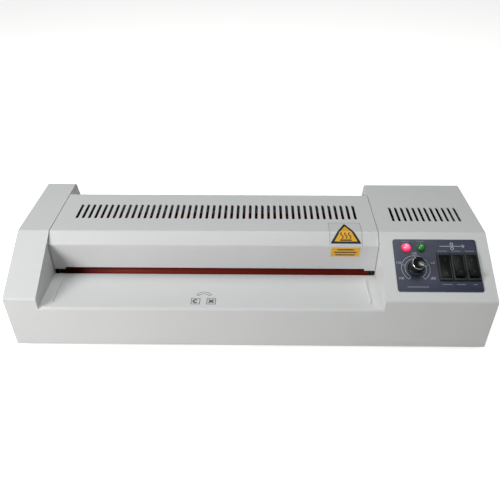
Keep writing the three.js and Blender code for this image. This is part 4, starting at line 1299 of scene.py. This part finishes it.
def buildKnob():
    # A fluted knob on a wide skirt, with a dished top and a white pointer line.
    low, high = knobLow.z, knobHigh.z
    skirtTop = low + knob["skirtHeight"]
    profile = [
        (2.2 * mm, low + 6 * mm), (2.2 * mm, low), (knob["skirt"] - 0.4 * mm, low),
        (knob["skirt"], low + 0.4 * mm),
        (knob["skirt"], skirtTop - 0.5 * mm), (knob["skirt"] - 0.5 * mm, skirtTop),
        (knob["waist"] + 0.5 * mm, skirtTop + 0.35 * mm), (knob["waist"], skirtTop + 0.9 * mm),
        (knob["waist"] - 0.15 * mm, skirtTop + 3 * mm), (knob["top"] + 0.15 * mm, high - 3.0 * mm),
        (knob["top"], high - 1.2 * mm), (knob["top"] - 0.15 * mm, high - 0.5 * mm),
        (knob["top"] - 0.65 * mm, high - 0.1 * mm),
        (knob["top"] - 1.2 * mm, high - 0.15 * mm), (knob["top"] - 1.6 * mm, high - 0.6 * mm),
        (0, high - 0.7 * mm),
    ]
    steps = knob["flutes"] * 8
    bm = turnedPart([(0, low + 6 * mm), *profile], steps)
    grip = (skirtTop + 1.2 * mm, high - 1.4 * mm)
    for v in bm.verts:
        radius = v.co.xy.length
        if radius < knob["top"] - 0.3 * mm or not grip[0] < v.co.z < grip[1]:
            continue
        wave = math.cos(math.atan2(v.co.y, v.co.x) * knob["flutes"])
        v.co.xy *= 1 + knob["fluteDepth"] * (wave - 0.4) / radius
    turn = Matrix.Rotation(math.radians(knob["pointer"]), 4, "Z")
    place = slopePlace @ Matrix.Translation((knobAt.x, knobAt.y, 0)) @ turn
    placePart(bm, place)
    newPiece(
        bm, "temperatureKnob", "temperature_control", glossBlack, ["temperature_knob"],
        sharp=50,
    )
    # half width, inner and outer end, foot, head and edge: on the top, up the side and on the skirt
    top, waist, skirt = knob["top"], knob["waist"], knob["skirt"]
    strokes = (
        (0.45 * mm, 1.6 * mm, top - 1.7 * mm, high - 0.72 * mm, high - 0.5 * mm, 0.06 * mm),
        (0.4 * mm, top - 0.9 * mm, top + 0.28 * mm, high - 2.4 * mm, high - 0.12 * mm, 0.1 * mm),
        (0.45 * mm, waist + 0.9 * mm, skirt - 0.6 * mm, skirtTop - 0.1 * mm, skirtTop + 0.12 * mm, 0.05 * mm),
    )
    line = bmesh.new()
    for half, start, end, foot, head, edge in strokes:
        addPart(line, boxPart((-half, start, foot), (half, end, head), edge=edge))
    placePart(line, place)
    newPiece(line, "knobPointer", "temperature_control", whiteInk)
    outer, inner = knob["top"] + 0.08 * mm, knob["top"] - 0.95 * mm
    ring = turnedPart([
        (inner, high - 0.5 * mm), (outer - 0.3 * mm, high - 1.3 * mm), (outer, high - 1.1 * mm),
        (outer - 0.1 * mm, high - 0.75 * mm), (outer - 0.6 * mm, high - 0.12 * mm),
        (inner + 0.1 * mm, high - 0.04 * mm),
        (inner, high - 0.5 * mm),
    ], 96)
    newPiece(placePart(ring, place), "knobRim", "temperature_control", polishedRim, sharp=60)


switches = {
    "names": ("direction", "heat", "power"),
    "depth": 22 * mm,
    "corner": 1.1 * mm,
    "gap": 0.12 * mm,  # from each bezel to the edge of its third
    "bodyInset": (1.1 * mm, 1.9 * mm, 0),
    "wellInset": (1.9 * mm, 2.6 * mm, 0),
    "wellDepth": 9.5 * mm,
    "terminalHalf": (2.4 * mm, 0.4 * mm),
    "terminalLength": 8 * mm,
    "terminalSteps": (-9 * mm, 0, 9 * mm),
}


def buildSwitchHousing():
    # Three bezels side by side on one body, each with a well for its rocker, and spade terminals behind.
    rimLow, rimTop = panelHigh.z + 0.3 * mm, housingHigh.z
    back = -switches["depth"]
    inset, wellInset = Vector(switches["bodyInset"]), Vector(switches["wellInset"])
    low, high = housingLow.copy(), housingHigh.copy()
    low.z, high.z = back, rimLow + 0.4 * mm
    body = boxPart(low + inset, high - inset, corner=0.8 * mm)
    piece = newPiece(body, "switchHousing", "case", satinBlack, ["switch_housing"])
    rims, wells, tabs = bmesh.new(), bmesh.new(), bmesh.new()
    halfX, halfY = switches["terminalHalf"]
    for i in range(3):
        left, right = housingLow.x + switchPitch * i, housingLow.x + switchPitch * (i + 1)
        gap = switches["gap"]
        rim = boxPart(
            (left + gap, low.y, rimLow), (right - gap, high.y, rimTop), corner=switches["corner"], steps=6,
        )
        bevelRim(rim, rimTop, 0.5 * mm, 4)
        addPart(rims, rim)
        wellLow, wellHigh = Vector((left, low.y, -switches["wellDepth"])), Vector((right, high.y, 9 * mm))
        addPart(wells, boxPart(wellLow + wellInset, wellHigh - wellInset, corner=0.7 * mm))
        x = (left + right) / 2
        for step in switches["terminalSteps"]:
            y = (low.y + high.y) / 2 + step
            ends = (back - switches["terminalLength"], back + 0.5 * mm)
            addPart(
                tabs,
                boxPart((x - halfX, y - halfY, ends[0]), (x + halfX, y + halfY, ends[1]), edge=0.1 * mm),
            )
    carve(piece, rims, operation="UNION")
    carve(piece, wells)
    piece.data.transform(slopePlace)
    piece.data.update()
    newPiece(placePart(tabs, slopePlace), "switchTerminals", "case", tinPlate)


rocker = {
    "tilt": 9,  # degrees, up for the first and down for the others
    "crest": 4.6 * mm, "shoulder": 3.4 * mm, "hollow": 1.85 * mm, "foot": (4 * mm, -5.5 * mm),
    "lineAt": 7.4 * mm, "ringAt": -7.4 * mm, "print": 0.08 * mm,
}


def buildRocker(name, index):
    # One rocker about its pivot: a dished face between two raised ends, with a moulded line and ring.
    node, body = f"{name}_rocker", f"{name}_switch"
    tilt = math.radians(-rocker["tilt"] if index else rocker["tilt"])
    pivot = jointPlace(f"{name}_rocker_tilt")
    place = Matrix.Translation(pivot) @ Matrix.Rotation(slopeAngle + tilt, 4, "X")
    low, high = localBox(node, place)
    half, reach = high.y, high.y - 1.0 * mm
    crest, shoulder = rocker["crest"], rocker["shoulder"]
    footY, footZ = rocker["foot"]

    def surface(y):
        return crest - (1 - (y / reach) ** 2) * rocker["hollow"]

    outline = [(-half, shoulder), (-half + 0.9 * mm, crest)]
    outline += [(y, surface(y)) for y in (reach * (i / 8 - 1) for i in range(1, 16))]
    outline += [
        (half - 0.9 * mm, crest), (half, shoulder), (half - 0.6 * mm, 0), (footY, footZ), (-footY, footZ),
        (-half + 0.6 * mm, 0),
    ]
    bm = prismPart(outline, low.x, high.x)
    bevelEdges(bm, sharpEdges(bm, 24, convex=True), 0.3 * mm, 3)
    newPiece(placePart(bm, place), f"{name}Rocker", body, rockerBlack, [node], sharp=40)
    lineAt, ringAt, ink = rocker["lineAt"], rocker["ringAt"], rocker["print"]
    slopeHere = math.atan2(surface(lineAt + mm) - surface(lineAt - mm), 2 * mm)
    bar = barPart(-0.35 * mm, 0.35 * mm, -1.5 * mm, 1.5 * mm, ink)
    marks = bmesh.new()
    for part, y, turn in (
        (bar, lineAt, slopeHere), (ringPart(1.1 * mm, 1.6 * mm, ink, 28), ringAt, -slopeHere),
    ):
        at = Matrix.Translation(((low.x + high.x) / 2, y, surface(y) + 0.02 * mm))
        addPart(marks, part, at @ Matrix.Rotation(turn, 4, "X"))
    newPiece(placePart(marks, place), f"{name}RockerMarks", body, faintInk)


# Base tray, feet and screws.
tray = {
    "edgeHeight": 14 * mm, "fold": 2 * mm, "slots": 9, "slotPitch": 9 * mm, "slotWidth": 3.5 * mm,
    "slotGroups": (-150 * mm, 70 * mm), "slotFront": -15 * mm, "slotBack": 25 * mm,
    "pillarInset": 5 * mm,
    "pillar": [(0, 0), (3.6 * mm, 0), (3 * mm, 0.6 * mm), (3 * mm, 8.4 * mm), (0, 8.4 * mm)],
}
screw = {
    "radius": 3.1 * mm, "dome": 1.5 * mm, "crossDepth": 0.9 * mm, "crossWidth": 0.75 * mm,
    "crossReach": 1.9 * mm,
    "lowHead": 0.25,  # how tall the end walls' heads are beside the others
    "endWall": (-70 * mm, 72 * mm), "endWallUp": 8 * mm, "rearWall": (-236 * mm, 150 * mm),
    "rearWallUp": 9 * mm,
    "coverInset": 5.5 * mm, "coverUp": 12 * mm,
}


def buildBaseTray():
    # The floor with four turned-up edges, two groups of air slots and the board's pillars.
    low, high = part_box("base_tray")
    sheet = casing["sheet"]
    rise = low.z + tray["edgeHeight"]
    lean = tray["edgeHeight"] * rearLean
    line = [
        (high.y - lean, rise), (high.y, low.z, tray["fold"]), (low.y, low.z, tray["fold"]), (low.y, rise),
    ]
    piece = foldedSheet("baseTray", line, low.x, high.x, basePaint, ["base_tray"])
    airSlots = bmesh.new()
    half = tray["slotWidth"] / 2
    for start in tray["slotGroups"]:
        for i in range(tray["slots"]):
            x = start + i * tray["slotPitch"]
            corners = (x - half, tray["slotFront"], low.z - 3 * mm), (
                x + half, tray["slotBack"], low.z + 4 * mm,
            )
            addPart(airSlots, boxPart(*corners, corner=half * 0.998))
    carve(piece, airSlots)
    softenEdges(piece, 0.15 * mm)
    sides = bmesh.new()
    for x in (low.x, high.x - sheet):
        corners = (x, low.y + 1.4 * mm, low.z + sheet + 0.02 * mm), (
            x + sheet, high.y - lean - 1.4 * mm, rise,
        )
        addPart(sides, boxPart(*corners, edge=0.2 * mm))
    boardLow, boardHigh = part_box("circuit_board")
    inset = tray["pillarInset"]
    for x in (boardLow.x + inset, boardHigh.x - inset):
        for y in (boardLow.y + inset, boardHigh.y - inset):
            addPart(sides, turnedPart(tray["pillar"], 24), Matrix.Translation((x, y, low.z + sheet)))
    newPiece(sides, "baseTraySides", "case", basePaint)


def buildFoot(node):
    # A round rubber foot, recessed for its screw; returns the screw's place.
    low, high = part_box(node)
    wide, tall, recess = (high.x - low.x) / 2, high.z - low.z, 2.6 * mm
    profile = [
        (0, recess), (3.6 * mm, recess), (3.9 * mm, 0.5 * mm), (4.4 * mm, 0), (wide - 2.9 * mm, 0),
        (wide - 2.2 * mm, 0.25 * mm), (wide - 1.8 * mm, 0.9 * mm), (wide - 0.2 * mm, tall - 0.5 * mm),
        (wide, tall - 0.2 * mm), (wide, tall), (0, tall),
    ]
    place = Matrix.Translation(((low.x + high.x) / 2, (low.y + high.y) / 2, low.z))
    newPiece(placePart(turnedPart(profile, 48), place), camelName(node), "case", footRubber, [node])
    return place @ Matrix.Translation((0, 0, recess)) @ Matrix.Rotation(math.pi, 4, "X")


def screwPart(scale=1.0):
    # A pan-head screw with a cross recess, standing on the origin.
    wide, tall = screw["radius"] * scale, screw["dome"] * scale
    points = [(0, 0), (wide, 0), (wide, tall * 0.35)]
    for i in range(1, 8):
        a = i / 7 * quarterTurn
        points.append((wide * math.cos(a) if i < 7 else 0, tall * (0.35 + 0.65 * math.sin(a))))
    bm = turnedPart(points, 32)
    half, reach = screw["crossWidth"] * scale / 2, screw["crossReach"] * scale
    solid = newPiece(bm, "screwHead", "case", screwSteel)
    for x, y in ((reach, half), (half, reach)):
        carve(
            solid,
            boxPart((-x, -y, tall - screw["crossDepth"] * scale), (x, y, tall + 1 * mm), edge=0.1 * mm),
        )
    made = bmesh.new()
    made.from_mesh(solid.data)
    bpy.data.objects.remove(solid)
    return made


def screwPlaces():
    # Where the case's screws stand: end walls, rear wall and the cover's rear lip.
    places = []
    for x, turn in ((shellLow.x, -quarterTurn), (shellHigh.x, quarterTurn)):
        for y in screw["endWall"]:
            place = Matrix.Translation((x, y, shellLow.z + screw["endWallUp"])) @ Matrix.Rotation(
                turn, 4, "Y",
            )
            places.append(place @ Matrix.Diagonal((1, 1, screw["lowHead"], 1)))
    for x in screw["rearWall"]:
        places.append(rearPlace @ Matrix.Translation((-x, screw["rearWallUp"], 0)))
    for x in (coverLow.x + screw["coverInset"], coverHigh.x - screw["coverInset"]):
        place = Matrix.Translation((x, coverHigh.y, coverLow.z + screw["coverUp"]))
        places.append(place @ Matrix.Rotation(-quarterTurn, 4, "X"))
    return places


def buildScrews(footScrews):
    bm = bmesh.new()
    sample = screwPart()
    for i, place in enumerate([*screwPlaces(), *footScrews]):
        addPart(bm, sample.copy(), place @ Matrix.Rotation(0.7 * i, 4, "Z"))
    sample.free()
    newPiece(bm, "caseScrews", "case", screwSteel)


# Rollers.
roller = {"steps": 96, "endRound": 0.5 * mm, "shaft": 5 * mm, "tip": 0.6 * mm}


def alongX(bm, x, y, z):
    return placePart(bm, Matrix.Translation((x, y, z)) @ Matrix.Rotation(quarterTurn, 4, "Y"))


def buildRoller(name):
    # A silicone sleeve on a steel core whose shaft ends are turned down.
    body, sleeveNode, coreNode = f"{name}_roller", f"roller_sleeve_{name}", f"roller_core_{name}"
    low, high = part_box(sleeveNode)
    coreLow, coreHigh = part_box(coreNode)
    y, z = (low.y + high.y) / 2, (low.z + high.z) / 2
    wide, core = (high.y - low.y) / 2, (coreHigh.y - coreLow.y) / 2
    length, total = high.x - low.x, coreHigh.x - coreLow.x
    edge, inner = roller["endRound"], core + 0.1 * mm
    profile = [
        (inner, 0), (wide - edge, 0), (wide - edge * 0.3, edge * 0.3), (wide, edge), (wide, length - edge),
        (wide - edge * 0.3, length - edge * 0.3), (wide - edge, length), (inner, length), (inner, 0),
    ]
    sleeve = alongX(turnedPart(profile, roller["steps"]), low.x, y, z)
    newPiece(sleeve, camelName(sleeveNode), body, sleeveSilicone, [sleeveNode])
    start, shaft, tip = low.x - coreLow.x, roller["shaft"], roller["tip"]
    end = start + length
    profile = [
        (0, 0), (shaft - tip, 0), (shaft, tip), (shaft, start - 0.4 * mm), (shaft + 0.4 * mm, start),
        (core - tip, start), (core, start + tip), (core, end - tip), (core - tip, end), (shaft, end),
        (shaft, total - tip), (shaft - tip, total), (0, total),
    ]
    rod = alongX(turnedPart(profile, 48), coreLow.x, y, z)
    newPiece(rod, camelName(coreNode), body, groundSteel, [coreNode])


# Compression springs over the bearing blocks.
spring = {
    "wire": 0.6 * mm, "turns": 5, "stepsPerTurn": 28, "sides": 10, "lift": 1.2 * mm,
    "seat": 0.16,  # the share of the coil that lies flat at each end
    "seatRise": 1.9,  # wires that a seat rises by
}


def buildSpring(node):
    # A coil with closed ends, built at one length to fill the spring's part; the real spring is pressed
    # shorter as its bearing block rises.
    low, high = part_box(node)
    wire, seat, sides = spring["wire"], spring["seat"], spring["sides"]
    middle = (low + high) / 2
    radius = (high.x - low.x) / 2 - wire
    count = spring["turns"] * spring["stepsPerTurn"]
    bottom, top = low.z + wire, high.z - wire
    seatTall = wire * spring["seatRise"]
    path, outs = [], []
    for i in range(count + 1):
        t = i / count
        a = t * spring["turns"] * 2 * math.pi
        rise = min(max((t - seat) / (1 - 2 * seat), 0), 1)
        seated = seatTall * (min(t, seat) + max(t - 1 + seat, 0)) / seat
        outs.append(Vector((math.cos(a), math.sin(a), 0)))
        z = bottom + seated / 2 + rise * (top - bottom - seatTall)
        path.append(Vector((middle.x, middle.y, z)) + outs[-1] * radius)
    bm = bmesh.new()
    rings = []
    for i, (point, out) in enumerate(zip(path, outs)):
        along = (path[min(i + 1, count)] - path[max(i - 1, 0)]).normalized()
        side = along.cross(out).normalized()
        turns = [k / sides * 2 * math.pi for k in range(sides)]
        rings.append(
            [bm.verts.new(point + (out * math.cos(a) + side * math.sin(a)) * wire * 0.97) for a in turns]
        )
    for a, b in zip(rings, rings[1:]):
        for k in range(sides):
            n = (k + 1) % sides
            bm.faces.new((a[k], a[n], b[n], b[k]))
    bm.faces.new(rings[0])
    bm.faces.new(rings[-1])
    bmesh.ops.recalc_face_normals(bm, faces=bm.faces)
    piece = newPiece(bm, camelName(node), "case", groundSteel, [node])
    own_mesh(piece)


# Mains inlet and fuse holder on the rear wall.
inlet = {
    "flange": 2.7 * mm, "corner": 3 * mm, "shroud": (9.8 * mm, 13.6 * mm), "shroudDepth": 19 * mm,
    "socket": (8.4 * mm, 12 * mm), "cut": 3.2 * mm, "depth": 15 * mm,
    "pins": ((1.9 * mm, -7 * mm), (1.9 * mm, 7 * mm), (-1.9 * mm, 0)), "pinHalf": (1.9 * mm, 1 * mm),
    "pinBack": -26 * mm, "pinFront": -1.5 * mm, "screwSteps": (-16.8 * mm, 16.8 * mm),
}
fuse = {"body": 4.4 * mm, "neck": 5.9 * mm, "slot": (4.6 * mm, 0.7 * mm), "slotDepth": 1.2 * mm}


def buildInlet():
    # A flanged socket with a keyed mouth, three pins and two screws.
    low, high = localBox("mains_inlet", rearPlace)
    place = rearPlace @ Matrix.Translation(middleOn(rearPlace, "mains_inlet"))
    wide, tall = (high.x - low.x) / 2, (high.y - low.y) / 2
    foot = high.z - inlet["flange"]
    plate = boxPart((-wide, -tall, foot), (wide, tall, high.z), corner=inlet["corner"], steps=8)
    bevelRim(plate, high.z, 0.6 * mm, 4)
    piece = newPiece(plate, "mainsInlet", "case", satinBlack, ["mains_inlet"])
    x, y = inlet["shroud"]
    shroud = boxPart((-x, -y, -inlet["shroudDepth"]), (x, y, foot + 0.8 * mm), corner=1.2 * mm)
    carve(piece, shroud, operation="UNION")
    x, y = inlet["socket"]
    cut = inlet["cut"]
    outline = [(x, -y), (x, y), (-x + cut, y), (-x, y - cut), (-x, -y + cut), (-x + cut, -y)]
    socket = prismPart(outline, -inlet["depth"], 6 * mm, "Z")
    bevelEdges(socket, uprightEdges(socket), 0.8 * mm, 4)
    carve(piece, socket)
    softenEdges(piece, 0.2 * mm)
    settle(piece)
    piece.data.transform(place)
    pins = bmesh.new()
    halfX, halfY = inlet["pinHalf"]
    for x, y in inlet["pins"]:
        corners = (x - halfX, y - halfY, inlet["pinBack"]), (x + halfX, y + halfY, inlet["pinFront"])
        addPart(pins, boxPart(*corners, edge=0.35 * mm))
    newPiece(placePart(pins, place), "inletPins", "case", tinPlate)
    heads = bmesh.new()
    for y in inlet["screwSteps"]:
        addPart(heads, screwPart(0.7), place @ Matrix.Translation((0, y, high.z - 0.25 * mm)))
    newPiece(heads, "inletScrews", "case", screwSteel)


def buildFuseHolder():
    # A round body with a slotted screw cap.
    low, high = localBox("fuse_holder", rearPlace)
    wide, capLow = (high.x - low.x) / 2, high.z * 0.4
    body, neck = fuse["body"], fuse["neck"]
    profile = [
        (0, low.z), (body, low.z), (body, low.z + 6 * mm), (neck, low.z + 7 * mm), (neck, 0.3 * mm),
        (wide - 0.2 * mm, 0.3 * mm), (wide, 0.6 * mm), (wide, capLow - 0.3 * mm), (wide - 0.3 * mm, capLow),
        (wide - 1.8 * mm, capLow), (wide - 2.0 * mm, high.z - 0.8 * mm), (wide - 2.8 * mm, high.z),
        (0, high.z),
    ]
    piece = newPiece(
        turnedPart(profile, 64), "fuseHolder", "case", satinBlack, ["fuse_holder"],
    )
    x, y = fuse["slot"]
    carve(piece, boxPart((-x, -y, high.z - fuse["slotDepth"]), (x, y, high.z + 2 * mm)))
    piece.data.transform(rearPlace @ Matrix.Translation(middleOn(rearPlace, "fuse_holder")))


addCamera()
addStudio()
buildOuterShell()
print("outer shell built")
buildTopCover()
print("top cover built")
buildRearPanel()
print("rear panel built")
buildGuideRibs()
buildTableSigns()
buildLabel()
print("table signs and label built")
buildPanelPlate()
buildPanelPrint()
buildPanelMarks()
redLens = lensMaterial(
    "red lens, lit", (0.75, 0.01, 0.06), (1.0, 0.22, 0.4), lampAxis("red_lamp"), lamp["glow"], 0.85,
)
# The green lamp is unlit: its faint glow, brighter towards the middle, is painted light.
greenLensPaintedGlow = lensMaterial(
    "green lens", (0.006, 0.075, 0.016), (0.05, 0.3, 0.07), lampAxis("green_lamp"), lamp["glow"], 0.12,
)
buildLamp("red_lamp", redLens)
buildLamp("green_lamp", greenLensPaintedGlow)
buildKnob()
buildSwitchHousing()
for index, name in enumerate(switches["names"]):
    buildRocker(name, index)
print("control panel built")
buildBaseTray()
footScrews = [buildFoot(node) for node in sorted(frame["nodes"]) if node.startswith("foot_")]
buildScrews(footScrews)
print("tray, feet and screws built")
for name in ("lower_front", "lower_rear", "upper_front", "upper_rear"):
    buildRoller(name)
for row in ("front", "rear"):
    for end in ("left", "right"):
        buildSpring(f"spring_{row}_{end}")
buildInlet()
buildFuseHolder()
print("rollers, springs, inlet and fuse holder built")

# CAD nodes that no piece replaces
nodeMaterials = {
    "thermal_cutout": satinBlack, "idler_pin": groundSteel, "motor_pinion": groundSteel, "motor": satinBlack,
    "gearbox": castGrey, "motor_bracket": zincPlate, "left_side_frame": zincPlate,
    "right_side_frame": zincPlate,
    "upper_heater_plate": millAluminium, "lower_heater_plate": millAluminium, "upper_heater_strip": micaSheet,
    "lower_heater_strip": micaSheet, "potentiometer": zincPlate, "potentiometer_shaft": millAluminium,
    "circuit_board": boardMask, "transformer": varnishedCore, "wiring_loom": wireSleeve,
    "idler_gear": naturalNylon,
}
prefixMaterials = {"bush_": bushBronze, "bearing_block_": naturalNylon, "roller_gear_": naturalNylon}


def paintNodes():
    for name, node in frame["nodes"].items():
        prefixed = (m for start, m in prefixMaterials.items() if name.startswith(start))
        material = nodeMaterials.get(name) or next(prefixed, None)
        if material:
            node.data.materials.clear()
            node.data.materials.append(material)


paintNodes()
